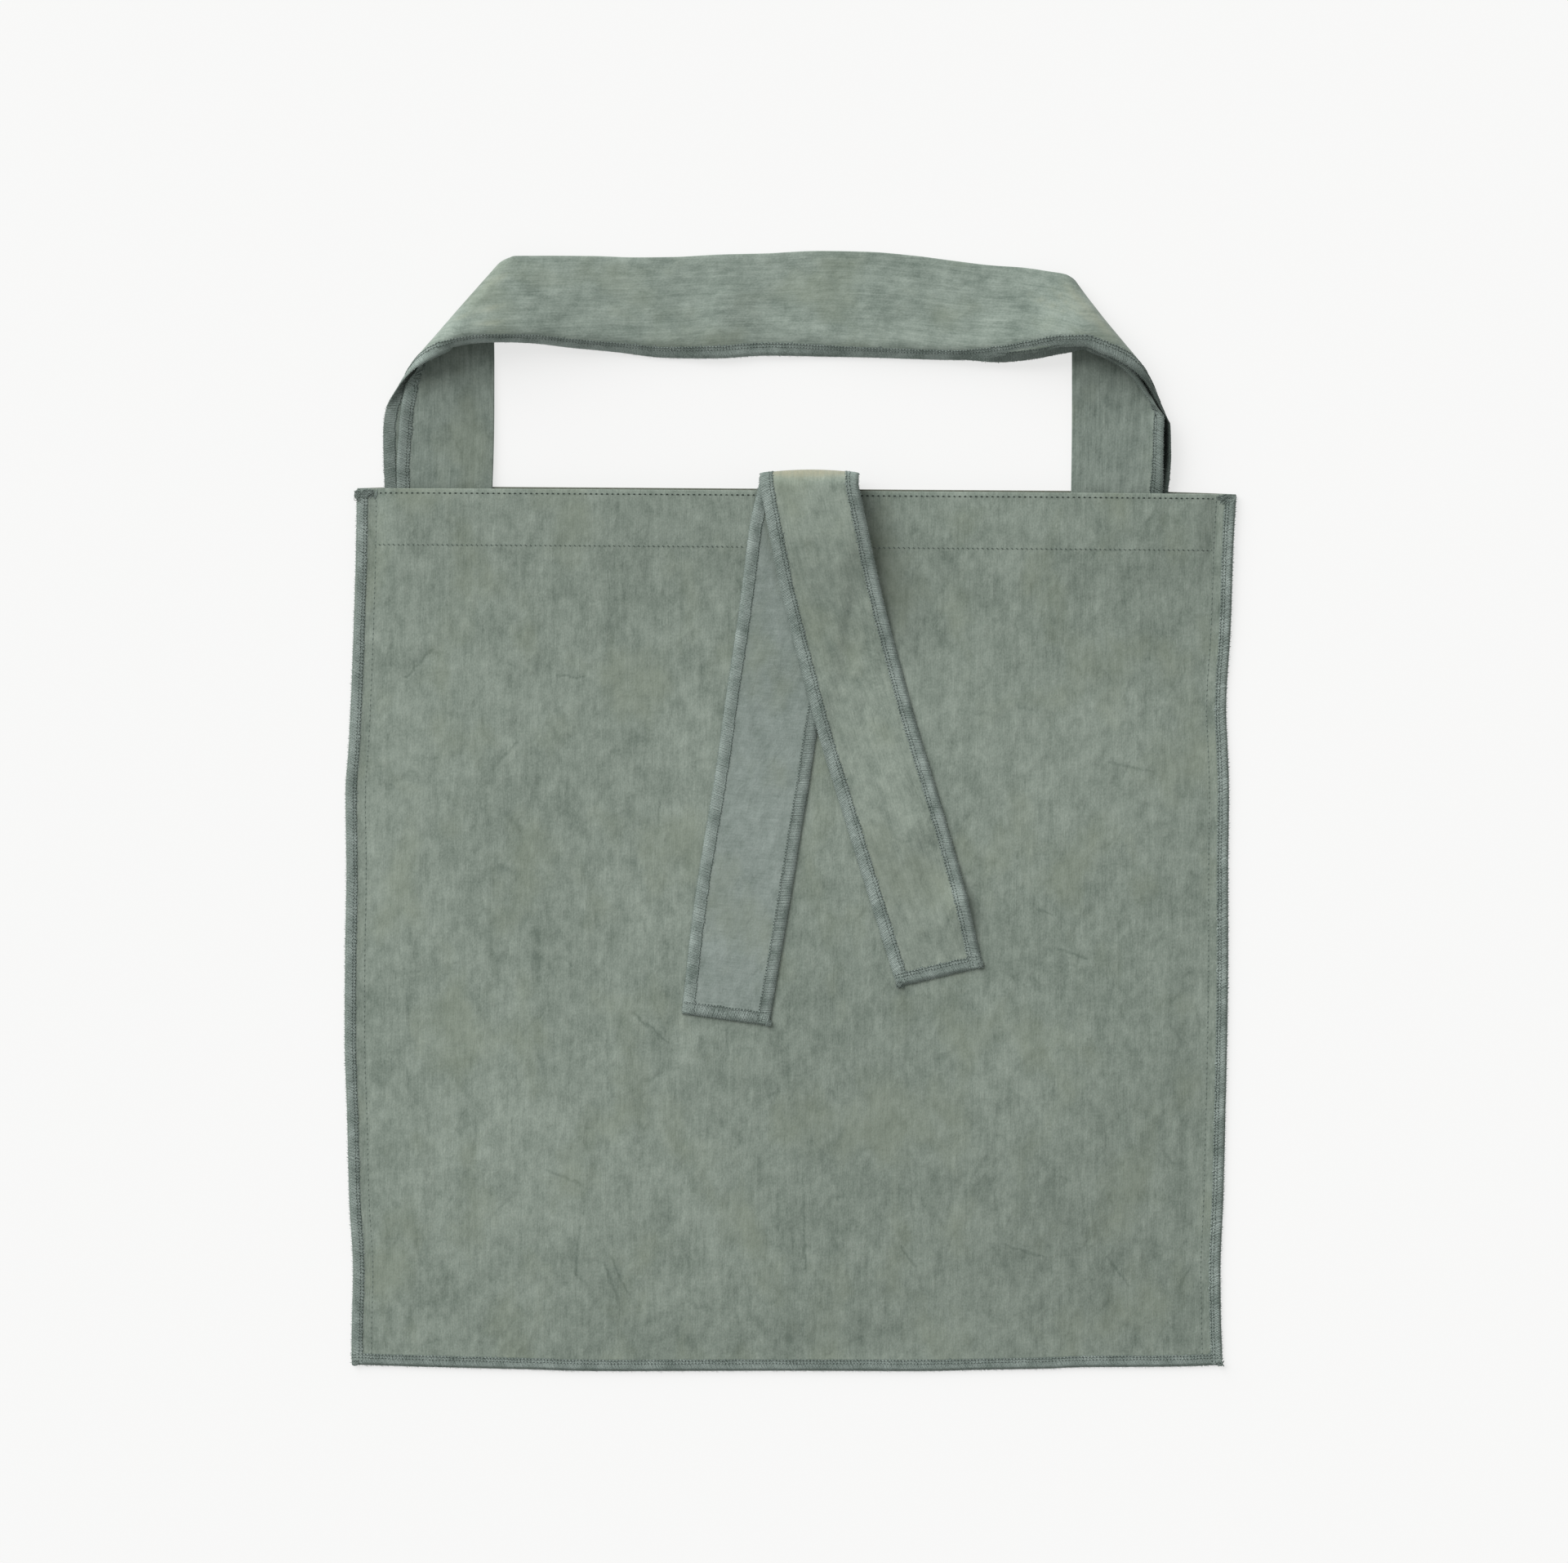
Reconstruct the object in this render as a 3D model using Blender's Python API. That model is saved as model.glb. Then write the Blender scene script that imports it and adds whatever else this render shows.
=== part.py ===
# Unlined cloth tote bag with one folded strap and two ties, lying on its back.
# The mouth is towards +Y, the front panel is up, and the origin is under the middle of the whole.
# Lengths are in millimetres and become metres where a mesh is made.
# Each piece is a sheet: its middle surface is worked out first and then thickened.

import math

import bmesh
import bpy
import numpy as np

METRE = 0.001
CLOTH = 1.0  # thickness of one layer
APART = 0.3  # clearance between two layers that lie on each other
PITCH = CLOTH + APART  # middle of one layer to the middle of the next

# Body: heights of the corners, and how far the bottom bows down between them
MOUTH_LEFT = 158.2
MOUTH_RIGHT = 155.2
BOTTOM_EDGE = -271.0
BOTTOM_BOW = 3.4
BACK_MOUTH_PROUD = 1.2  # the back's mouth stands this much higher than the front's
HEM = 28.0

# Body sides, a row for each height: height, left edge, right edge
BODY_SIDES = (
    (-275.0, -215.2, 211.9),
    (-250.0, -214.9, 210.9),
    (-225.0, -214.3, 210.6),
    (-190.0, -216.2, 212.0),
    (-150.0, -217.2, 213.0),
    (-110.0, -218.4, 213.9),
    (-70.0, -218.2, 214.4),
    (-30.0, -217.6, 214.4),
    (10.0, -218.0, 214.8),
    (30.0, -216.6, 214.2),
    (50.0, -215.6, 213.4),
    (90.0, -214.0, 215.6),
    (130.0, -212.8, 216.9),
    (160.0, -212.4, 218.7),
)

# Front panel: a soft crown between the seams, steeper near the mouth, and a slope up to the hem
CROWN = 5.0
SIDE_REACH = 90.0
MOUTH_REACH = 35.0
MOUTH_ZONE = (110.0, 32.0)  # below the mouth, where the steeper crown starts and is complete
HEM_SLOPE = 20.0
HEM_SLOPE_END = 3.0  # below the hem's raw edge
PROUD_REACH = 0.125  # how soon the back's mouth stands proud, as across times what is left
PANEL_COLUMNS = 26
BODY_ROWS = 14
HEM_ZONE_START = 0.86  # share of the height from where the rows lie closer together
HEM_ZONE_ROWS = 9
TURNED_HEM_ROWS = 4

# Strap: the strip is folded in two, and LAYER_GAP is left between its layers at the fold
LAYER_GAP = 0.5
STRAP_ACROSS = 6
STRAP_STEPS = 2
TURN_STEPS = 8

# Columns of the strap's rows
FOLD = slice(0, 3)
OPEN = slice(3, 6)
SHORT, GAPE, FOLD_SWING, OPEN_SWING = range(6, 10)

# Strap rows, from the left end to the right end. Fold is the clean folded edge and open the raw
# edge of the outer layer, each with its x, y and height. Short is how much narrower the inner
# layer is, gape how far the layers part at the open edge. Where the swings aren't nought, the
# strap turns over between this row and the next, and they are how far fold and open bulge.
# fold x, y, height, open x, y, height, short, gape, fold swing, open swing
STRAP_ROWS = (
    (-146.0, 130.2, 3.85, -198.4, 130.2, 3.85, 6.8, 0.0, 0.0, 0.0),
    (-145.9, 145.0, 3.85, -198.4, 145.0, 3.85, 6.8, 0.0, 0.0, 0.0),
    (-145.8, 159.4, 3.85, -198.6, 159.4, 3.85, 6.8, 0.0, 0.0, 0.0),
    (-145.5, 168.6, 3.30, -199.0, 167.6, 3.40, 6.8, 0.2, 0.0, 0.0),
    (-145.2, 180.0, 2.20, -199.2, 175.0, 2.60, 6.8, 0.4, 0.0, 0.0),
    (-145.0, 198.0, 1.60, -199.2, 181.4, 2.00, 6.8, 0.6, 0.0, 0.0),
    (-145.0, 219.0, 1.40, -199.2, 185.4, 1.80, 6.6, 0.8, 0.0, 0.0),
    (-145.3, 241.0, 1.32, -199.2, 188.6, 2.00, 6.2, 1.0, 0.0, 0.0),
    (-145.6, 262.0, 1.32, -199.2, 191.3, 2.00, 6.0, 1.0, 2.5, 8.0),
    (-134.6, 271.6, 5.30, -165.6, 228.7, 17.3, 4.0, 1.0, 0.0, 0.0),
    (-125.2, 271.7, 4.90, -147.2, 230.2, 15.6, 3.6, 0.8, 0.0, 0.0),
    (-111.2, 271.8, 4.00, -127.2, 229.2, 12.0, 3.4, 0.6, 0.0, 0.0),
    (-97.2, 271.8, 3.00, -107.2, 226.8, 8.00, 3.4, 0.4, 0.0, 0.0),
    (-77.2, 271.2, 2.00, -84.4, 224.4, 4.20, 3.4, 0.2, 0.0, 0.0),
    (-57.2, 271.4, 1.50, -61.2, 221.8, 2.60, 3.4, 0.0, 0.0, 0.0),
    (-35.2, 272.6, 1.30, -36.0, 221.6, 3.60, 3.4, 0.2, 0.0, 0.0),
    (-11.2, 273.2, 1.30, -11.2, 223.0, 1.50, 3.4, 0.0, 0.0, 0.0),
    (12.8, 274.4, 1.30, 12.8, 223.2, 1.30, 3.4, 0.0, 0.0, 0.0),
    (36.8, 274.0, 1.30, 36.8, 222.6, 1.30, 3.0, 0.0, 0.0, 0.0),
    (60.8, 272.0, 1.40, 60.0, 221.8, 1.60, 2.0, 0.0, 0.0, 0.0),
    (80.8, 269.4, 1.60, 81.6, 220.8, 2.80, 0.6, 0.4, 0.0, 0.0),
    (98.8, 267.2, 2.10, 101.6, 220.6, 5.20, -1.0, 0.8, 0.0, 0.0),
    (112.8, 266.2, 2.80, 117.6, 223.2, 9.20, -1.0, 1.2, 0.0, 0.0),
    (124.8, 264.4, 3.90, 131.2, 226.4, 14.2, -0.6, 1.8, 0.0, 0.0),
    (134.4, 262.6, 5.30, 144.4, 228.6, 18.6, 0.0, 2.4, 5.0, 12.6),
    (137.6, 248.6, 1.32, 185.6, 183.4, 3.15, 1.6, 3.4, 0.0, 0.0),
    (137.8, 228.0, 1.32, 185.6, 178.6, 3.10, 2.4, 3.2, 0.0, 0.0),
    (137.8, 205.0, 1.50, 185.5, 174.0, 3.00, 2.8, 2.8, 0.0, 0.0),
    (137.7, 185.0, 2.00, 185.4, 168.6, 3.10, 3.2, 2.0, 0.0, 0.0),
    (137.5, 168.6, 3.20, 185.1, 162.6, 3.70, 3.2, 1.0, 0.0, 0.0),
    (137.3, 157.0, 3.85, 184.9, 157.0, 3.85, 3.2, 0.0, 0.0, 0.0),
    (137.2, 142.0, 3.85, 184.7, 142.0, 3.85, 3.2, 0.0, 0.0, 0.0),
    (137.2, 127.2, 3.85, 184.6, 127.2, 3.85, 3.2, 0.0, 0.0, 0.0),
)

# Ties: where the fold over the mouth begins and how far it reaches, with rows for what lies on
# the front, from the fold to the free end: left x, left y, right x, right y
TIE_FRONT_FOLD = (161.0, 164.2)
TIE_FRONT_INNER = (-10.6, 35.6)  # left and right edge at the end inside the bag
TIE_FRONT_ROWS = (
    (-14.8, 161.0, 31.0, 161.0),
    (-19.6, 139.4, 27.6, 138.2),
    (-22.4, 117.4, 24.4, 115.0),
    (-25.4, 94.6, 21.2, 91.4),
    (-31.6, 53.4, 14.0, 49.2),
    (-36.0, 21.4, 9.2, 16.6),
    (-40.8, -7.4, 4.4, -12.2),
    (-46.4, -42.6, -1.2, -47.4),
    (-49.8, -70.6, -6.0, -75.6),
    (-52.8, -98.6, -10.8, -104.2),
)
TIE_BACK_FOLD = (158.8, 166.2)
TIE_BACK_INNER = (-20.0, 27.0)
TIE_BACK_ROWS = (
    (-14.4, 158.8, 32.8, 158.8),
    (-10.4, 137.4, 37.2, 138.2),
    (-6.0, 115.4, 41.6, 117.4),
    (-0.8, 93.4, 46.4, 97.4),
    (6.4, 65.4, 53.2, 71.8),
    (14.0, 37.4, 60.4, 45.4),
    (26.4, -2.6, 72.0, 7.0),
    (38.8, -42.6, 83.4, -32.6),
    (52.4, -85.4, 93.6, -75.8),
)
TIE_FRONT_LIFT = (0.6, 30.0)  # height above where it would lie, and the length it dies out over
TIE_BACK_LIFT = (4.5, 72.0)
LIE = PITCH + 0.2  # a tie keeps a little more room to what it lies loosely on
TIE_SLOPE = (2.0, 12.0)  # beside the lower tie, where the upper one starts and stops sinking
TIE_KINK = (86.0, -46.0, 13.0, 3.2)  # x, y, radius and height of the raised edge near the end
TIE_ACROSS = 8
TIE_STEPS = 4
TIE_INNER_ROWS = 4
FOLD_STEPS = 6
EDGE_STEPS = 6


def ease(share):
    """0 up to share 0, 1 from share 1 on, with a soft start and a soft end."""
    share = np.clip(share, 0.0, 1.0)
    return share * share * (3.0 - 2.0 * share)


def rise(share):
    """0 at share 0, then up steeply and levelling off at share 1."""
    return 1.0 - (1.0 - np.clip(share, 0.0, 1.0)) ** 2


def smooth(rows, steps):
    """Rows on a smooth curve through the given ones, with this many steps to each gap."""
    knots = np.array(rows, float)
    lengths = np.linalg.norm(np.diff(knots, axis=0), axis=1)
    travel = np.concatenate([[0.0], np.cumsum(lengths)])
    slopes = np.gradient(knots, travel, axis=0)
    found = []
    for index, length in enumerate(lengths):
        for step in range(steps):
            t = step / steps
            start = (1 + 2 * t) * (1 - t) ** 2 * knots[index] + t * (1 - t) ** 2 * length * slopes[index]
            end = t * t * (3 - 2 * t) * knots[index + 1] + t * t * (t - 1) * length * slopes[index + 1]
            found.append(start + end)
    return np.array(found + [knots[-1]])


SIDES = smooth(BODY_SIDES, EDGE_STEPS)


def left_edge(y):
    return np.interp(y, SIDES[:, 0], SIDES[:, 1])


def right_edge(y):
    return np.interp(y, SIDES[:, 0], SIDES[:, 2])


def mouth_edge(across):
    return MOUTH_LEFT + (MOUTH_RIGHT - MOUTH_LEFT) * across


def bottom_edge(across):
    return BOTTOM_EDGE - BOTTOM_BOW * rise(4.0 * across * (1.0 - across))


def across_at(x, y):
    """How far a point is across the body, from 0 at the left edge to 1 at the right edge."""
    return np.clip((x - left_edge(y)) / (right_edge(y) - left_edge(y)), 0.0, 1.0)


def front_height(x, y):
    """Middle surface of the front panel's single layer."""
    across = across_at(x, y)
    below_mouth = mouth_edge(across) - y
    steep = ease((MOUTH_ZONE[0] - below_mouth) / (MOUTH_ZONE[0] - MOUTH_ZONE[1]))
    reach = SIDE_REACH + (MOUTH_REACH - SIDE_REACH) * steep
    from_side = np.minimum(x - left_edge(y), right_edge(y) - x)
    crown = CROWN * rise(from_side / reach) * rise((y - bottom_edge(across)) / SIDE_REACH)
    hem_rise = ease((HEM + HEM_SLOPE_END + HEM_SLOPE - below_mouth) / HEM_SLOPE)
    return CLOTH / 2 + PITCH + 2 * PITCH * hem_rise + crown


def back_height(x, y):
    """Middle surface of the back panel, which lies flat."""
    return np.full_like(x + y, CLOTH / 2)


def make_material(name, colour, roughness):
    material = bpy.data.materials.new(name)
    material.use_nodes = True
    shader = material.node_tree.nodes["Principled BSDF"]
    shader.inputs["Base Color"].default_value = (*colour, 1.0)
    shader.inputs["Roughness"].default_value = roughness
    shader.inputs["Metallic"].default_value = 0.0
    return material


def make_sheet(name, grid, material):
    """A closed sheet, one layer thick, on a grid of points of its middle surface."""
    mesh = bpy.data.meshes.new(name)
    body = bmesh.new()
    points = [[body.verts.new(point * METRE) for point in row] for row in grid]
    for row, after in zip(points, points[1:]):
        for corner in range(len(row) - 1):
            body.faces.new((row[corner], row[corner + 1], after[corner + 1], after[corner]))
    body.to_mesh(mesh)
    body.free()
    mesh.shade_smooth()
    sheet = bpy.data.objects.new(name, mesh)
    bpy.context.scene.collection.objects.link(sheet)
    mesh.materials.append(material)
    thicken = sheet.modifiers.new("cloth thickness", "SOLIDIFY")
    thicken.thickness = CLOTH * METRE
    thicken.offset = 0.0
    thicken.use_even_offset = True
    return sheet


def panel_grid(height, mouth_proud, turn_side):
    """Rows up the body, round the fold at the mouth and down the turned hem inside the bag."""
    across = 0.5 - 0.5 * np.cos(np.linspace(0.0, math.pi, PANEL_COLUMNS))
    mouth = mouth_edge(across) + mouth_proud * rise(across * (1.0 - across) / PROUD_REACH)
    bottom = bottom_edge(across)
    radius = PITCH / 2
    fold = mouth - CLOTH / 2 - radius
    below_hem = np.linspace(0.0, HEM_ZONE_START, BODY_ROWS, endpoint=False)
    body_shares = np.concatenate([below_hem, np.linspace(HEM_ZONE_START, 1.0, HEM_ZONE_ROWS)])
    grid = []

    def add_row(y, lift):
        x = left_edge(y) + (right_edge(y) - left_edge(y)) * across
        grid.append(np.stack([x, y, height(x, np.minimum(y, fold)) + lift], axis=1))

    for share in body_shares:
        add_row(bottom + (fold - bottom) * share, 0.0)
    for step in range(1, FOLD_STEPS):
        angle = math.pi * step / FOLD_STEPS
        add_row(fold + radius * math.sin(angle), turn_side * radius * (1.0 - math.cos(angle)))
    for share in np.linspace(0.0, 1.0, TURNED_HEM_ROWS):
        add_row(fold - (HEM - CLOTH / 2 - radius) * share, turn_side * PITCH)
    return np.array(grid)


def turn_over(start, end):
    """Rows between the two that a turn-over joins: both edges swing through half a circle."""
    start = np.array(start)
    end = np.array(end)
    crease = start[OPEN] + end[OPEN] - start[FOLD] - end[FOLD]
    outward = np.array([-crease[1], crease[0], 0.0]) / math.hypot(crease[0], crease[1])
    outward = outward * np.sign(outward[1])
    rows = []
    for step in range(1, TURN_STEPS):
        angle = math.pi * step / TURN_STEPS
        row = start + (end - start) * step / TURN_STEPS
        for edge, swing in ((FOLD, start[FOLD_SWING]), (OPEN, start[OPEN_SWING])):
            row[edge] += outward * swing * math.sin(angle)
            climb = end[edge][2] - start[edge][2]
            row[edge.stop - 1] = start[edge][2] + climb * (1.0 - math.cos(angle)) / 2
        rows.append(row)
    return rows


def strap_stations():
    rows = []
    for row, after in zip(STRAP_ROWS, STRAP_ROWS[1:] + (None,)):
        rows.append(np.array(row))
        if row[OPEN_SWING]:
            rows += turn_over(row, after)
    return smooth([row[:FOLD_SWING] for row in rows], STRAP_STEPS)


def strap_grid():
    """Each row goes from the outer layer's raw edge, round the fold, to the inner layer's raw edge."""
    stations = strap_stations()
    fold = stations[:, FOLD]
    ruling = stations[:, OPEN] - fold
    width = np.linalg.norm(ruling, axis=1)
    ruling = ruling / width[:, None]
    shares = np.linspace(1.0, 0.0, STRAP_ACROSS)
    bend = (LAYER_GAP + CLOTH) / 2
    inset = bend + CLOTH / 2
    grid = np.zeros((len(stations), 2 * len(shares) + FOLD_STEPS - 1, 3))

    def normal_at(reach):
        path = fold + ruling * reach[:, None]
        normal = np.cross(ruling, np.gradient(path, axis=0))
        return path, normal / np.linalg.norm(normal, axis=1)[:, None]

    for column, share in enumerate(shares):
        half = bend + stations[:, GAPE] / 2 * share ** 2
        path, normal = normal_at(inset + (width - inset) * share)
        grid[:, column] = path + normal * half[:, None]
        path, normal = normal_at(inset + (width - inset - stations[:, SHORT]) * share)
        grid[:, -1 - column] = path - normal * half[:, None]
    path, normal = normal_at(np.full(len(stations), inset))
    for step in range(1, FOLD_STEPS):
        angle = math.pi * step / FOLD_STEPS
        offset = normal * bend * math.cos(angle) - ruling * bend * math.sin(angle)
        grid[:, len(shares) - 1 + step] = path + offset
    return grid


FRONT_TIE_EDGE = smooth(TIE_FRONT_ROWS, EDGE_STEPS)[::-1]


def tie_front_height(x, y):
    """Middle surface of the lower tie where it lies on the front panel."""
    lift, length = TIE_FRONT_LIFT
    return front_height(x, y) + LIE + lift * ease(1.0 - (TIE_FRONT_FOLD[0] - y) / length)


def tie_back_height(x, y):
    """Middle surface of the upper tie, on the front panel and over the lower tie."""
    lift, length = TIE_BACK_LIFT
    beside = x - np.interp(y, FRONT_TIE_EDGE[:, 3], FRONT_TIE_EDGE[:, 2])
    over_tie = ease((TIE_SLOPE[1] - beside) / (TIE_SLOPE[1] - TIE_SLOPE[0]))
    kink_x, kink_y, kink_radius, kink_height = TIE_KINK
    kink = kink_height * np.exp(-((x - kink_x) ** 2 + (y - kink_y) ** 2) / kink_radius ** 2)
    fall = ease(1.0 - (TIE_BACK_FOLD[0] - y) / length)
    return front_height(x, y) + LIE * (1.0 + over_tie) + lift * fall + kink


def tie_grid(rows, fold, inner_edges, inner_height, height):
    """Rows from the end sewn inside the bag, up round the fold and down along the front."""
    shares = np.linspace(0.0, 1.0, TIE_ACROSS + 1)
    turn_y, fold_top = fold
    inner_end = mouth_edge(0.5) - HEM
    outer = smooth(rows, TIE_STEPS)
    grid = []
    inner_x = inner_edges[0] + (inner_edges[1] - inner_edges[0]) * shares
    first_x = outer[0][0] + (outer[0][2] - outer[0][0]) * shares
    top = height(first_x, np.full_like(shares, turn_y))
    for share in np.linspace(0.0, 1.0, TIE_INNER_ROWS):
        x = inner_x + (first_x - inner_x) * share
        y = np.full_like(x, inner_end + (turn_y - inner_end) * share)
        grid.append(np.stack([x, y, np.full_like(x, inner_height)], axis=1))
    for step in range(1, 2 * FOLD_STEPS):
        angle = math.pi * step / (2 * FOLD_STEPS)
        y = np.full_like(first_x, turn_y + (fold_top - CLOTH / 2 - turn_y) * math.sin(angle))
        z = inner_height + (top - inner_height) * (1.0 - math.cos(angle)) / 2
        grid.append(np.stack([first_x, y, z], axis=1))
    for row in outer:
        x = row[0] + (row[2] - row[0]) * shares
        y = row[1] + (row[3] - row[1]) * shares
        grid.append(np.stack([x, y, height(x, y)], axis=1))
    return np.array(grid)


def build():
    for old in list(bpy.data.objects):
        bpy.data.objects.remove(old)
    right_side = make_material("sage cotton, right side", (0.222, 0.262, 0.227), 0.88)
    wrong_side = make_material("sage cotton, wrong side", (0.236, 0.275, 0.246), 0.90)
    folded = make_material("sage cotton, folded strap", (0.226, 0.268, 0.235), 0.88)
    lower_layer = make_material("sage cotton, back of the bag", (0.205, 0.243, 0.212), 0.90)
    tie_cloth = make_material("sage cotton, narrow tie", (0.220, 0.260, 0.224), 0.88)

    make_sheet("back_panel", panel_grid(back_height, BACK_MOUTH_PROUD, 1.0), lower_layer)
    make_sheet("front_panel", panel_grid(front_height, 0.0, -1.0), right_side)
    make_sheet("strap", strap_grid(), folded)

    at_mouth = front_height(0.0, mouth_edge(0.5) - PITCH)
    under_front_hem = at_mouth - 2 * PITCH
    over_back_hem = CLOTH / 2 + 2 * PITCH
    lower_tie = tie_grid(
        TIE_FRONT_ROWS, TIE_FRONT_FOLD, TIE_FRONT_INNER, under_front_hem, tie_front_height
    )
    upper_tie = tie_grid(
        TIE_BACK_ROWS, TIE_BACK_FOLD, TIE_BACK_INNER, over_back_hem, tie_back_height
    )
    make_sheet("tie_front", lower_tie, wrong_side)
    make_sheet("tie_back", upper_tie, tie_cloth)


build()
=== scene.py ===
# Tote bag of washed sage cotton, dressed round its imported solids.
# Plans are in millimetres in the bag's own frame: x to the right, y towards the mouth, z up.

import math

import bpy
import numpy as np
from mathutils.bvhtree import BVHTree
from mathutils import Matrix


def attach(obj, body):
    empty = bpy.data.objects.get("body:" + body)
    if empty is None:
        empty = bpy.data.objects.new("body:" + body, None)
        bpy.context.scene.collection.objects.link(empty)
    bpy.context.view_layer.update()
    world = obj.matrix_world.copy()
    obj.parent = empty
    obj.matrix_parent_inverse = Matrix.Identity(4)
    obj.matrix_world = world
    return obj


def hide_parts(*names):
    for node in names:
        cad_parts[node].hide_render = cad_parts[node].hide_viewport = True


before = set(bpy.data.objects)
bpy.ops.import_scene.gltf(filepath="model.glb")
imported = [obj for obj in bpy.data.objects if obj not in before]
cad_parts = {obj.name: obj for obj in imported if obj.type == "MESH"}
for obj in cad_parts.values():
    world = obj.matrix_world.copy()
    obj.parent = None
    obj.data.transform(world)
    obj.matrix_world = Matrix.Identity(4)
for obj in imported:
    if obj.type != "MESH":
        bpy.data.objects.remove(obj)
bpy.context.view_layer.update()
mm = 0.001


# Small helpers for shapes

def ease(share):
    share = np.clip(share, 0.0, 1.0)
    return share * share * (3.0 - 2.0 * share)


def rise(share):
    return 1.0 - (1.0 - np.clip(share, 0.0, 1.0)) ** 2


def unit(vectors):
    return vectors / np.linalg.norm(vectors, axis=-1, keepdims=True)


def travelAlong(line):
    return np.concatenate([[0.0], np.cumsum(np.linalg.norm(np.diff(line, axis=0), axis=1))])


def throughRows(rows, steps):
    # A smooth curve through the rows, with this many steps to each gap. Their first numbers, six
    # at the most, are places, and the gaps are measured by them.
    knots = np.array(rows, float)
    travel = travelAlong(knots[:, :6])
    lengths = np.diff(travel)
    # slopes that never overshoot a row
    secants = np.diff(knots, axis=0) / lengths[:, None]
    before = secants[:-1]
    after = secants[1:]
    same = before * after > 0.0
    nearBefore = (2 * lengths[1:] + lengths[:-1])[:, None]
    nearAfter = (lengths[1:] + 2 * lengths[:-1])[:, None]
    sloping = nearBefore / np.where(same, before, 1.0) + nearAfter / np.where(same, after, 1.0)
    slopes = np.concatenate([
        secants[:1], np.where(same, (nearBefore + nearAfter) / sloping, 0.0), secants[-1:],
    ])
    found = []
    for k, length in enumerate(lengths):
        for step in range(steps):
            t = step / steps
            start = (1 + 2 * t) * (1 - t) ** 2 * knots[k] + t * (1 - t) ** 2 * length * slopes[k]
            end = t * t * (3 - 2 * t) * knots[k + 1] + t * t * (t - 1) * length * slopes[k + 1]
            found.append(start + end)
    return np.array(found + [knots[-1]])


def softNoise(x, y, sizeX, sizeY, seed):
    # smooth random hills between -1 and 1, about one to each size
    lattice = np.random.default_rng(seed).uniform(-1.0, 1.0, (64, 64))
    gx = np.asarray(x) / sizeX
    gy = np.asarray(y) / sizeY
    ix = np.floor(gx).astype(int)
    iy = np.floor(gy).astype(int)
    fx = ease(gx - ix)
    fy = ease(gy - iy)
    low, high = [
        lattice[ix % 64, row % 64] * (1 - fx) + lattice[(ix + 1) % 64, row % 64] * fx
        for row in (iy, iy + 1)
    ]
    return low * (1 - fy) + high * fy


def creaseHeight(x, y, creases):
    # each crease is a soft ridge, or a trough if its height is negative, from one point to another
    height = np.zeros(np.broadcast(x, y).shape)
    for x0, y0, x1, y1, width, peak in creases:
        length = math.hypot(x1 - x0, y1 - y0)
        along = ((x - x0) * (x1 - x0) + (y - y0) * (y1 - y0)) / length ** 2
        aside = ((x - x0) * (y1 - y0) - (y - y0) * (x1 - x0)) / length
        ends = ease(along / 0.3) * ease((1.0 - along) / 0.3)
        height += peak * ends * np.exp(-(aside / width) ** 2)
    return height


# The two panels

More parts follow.
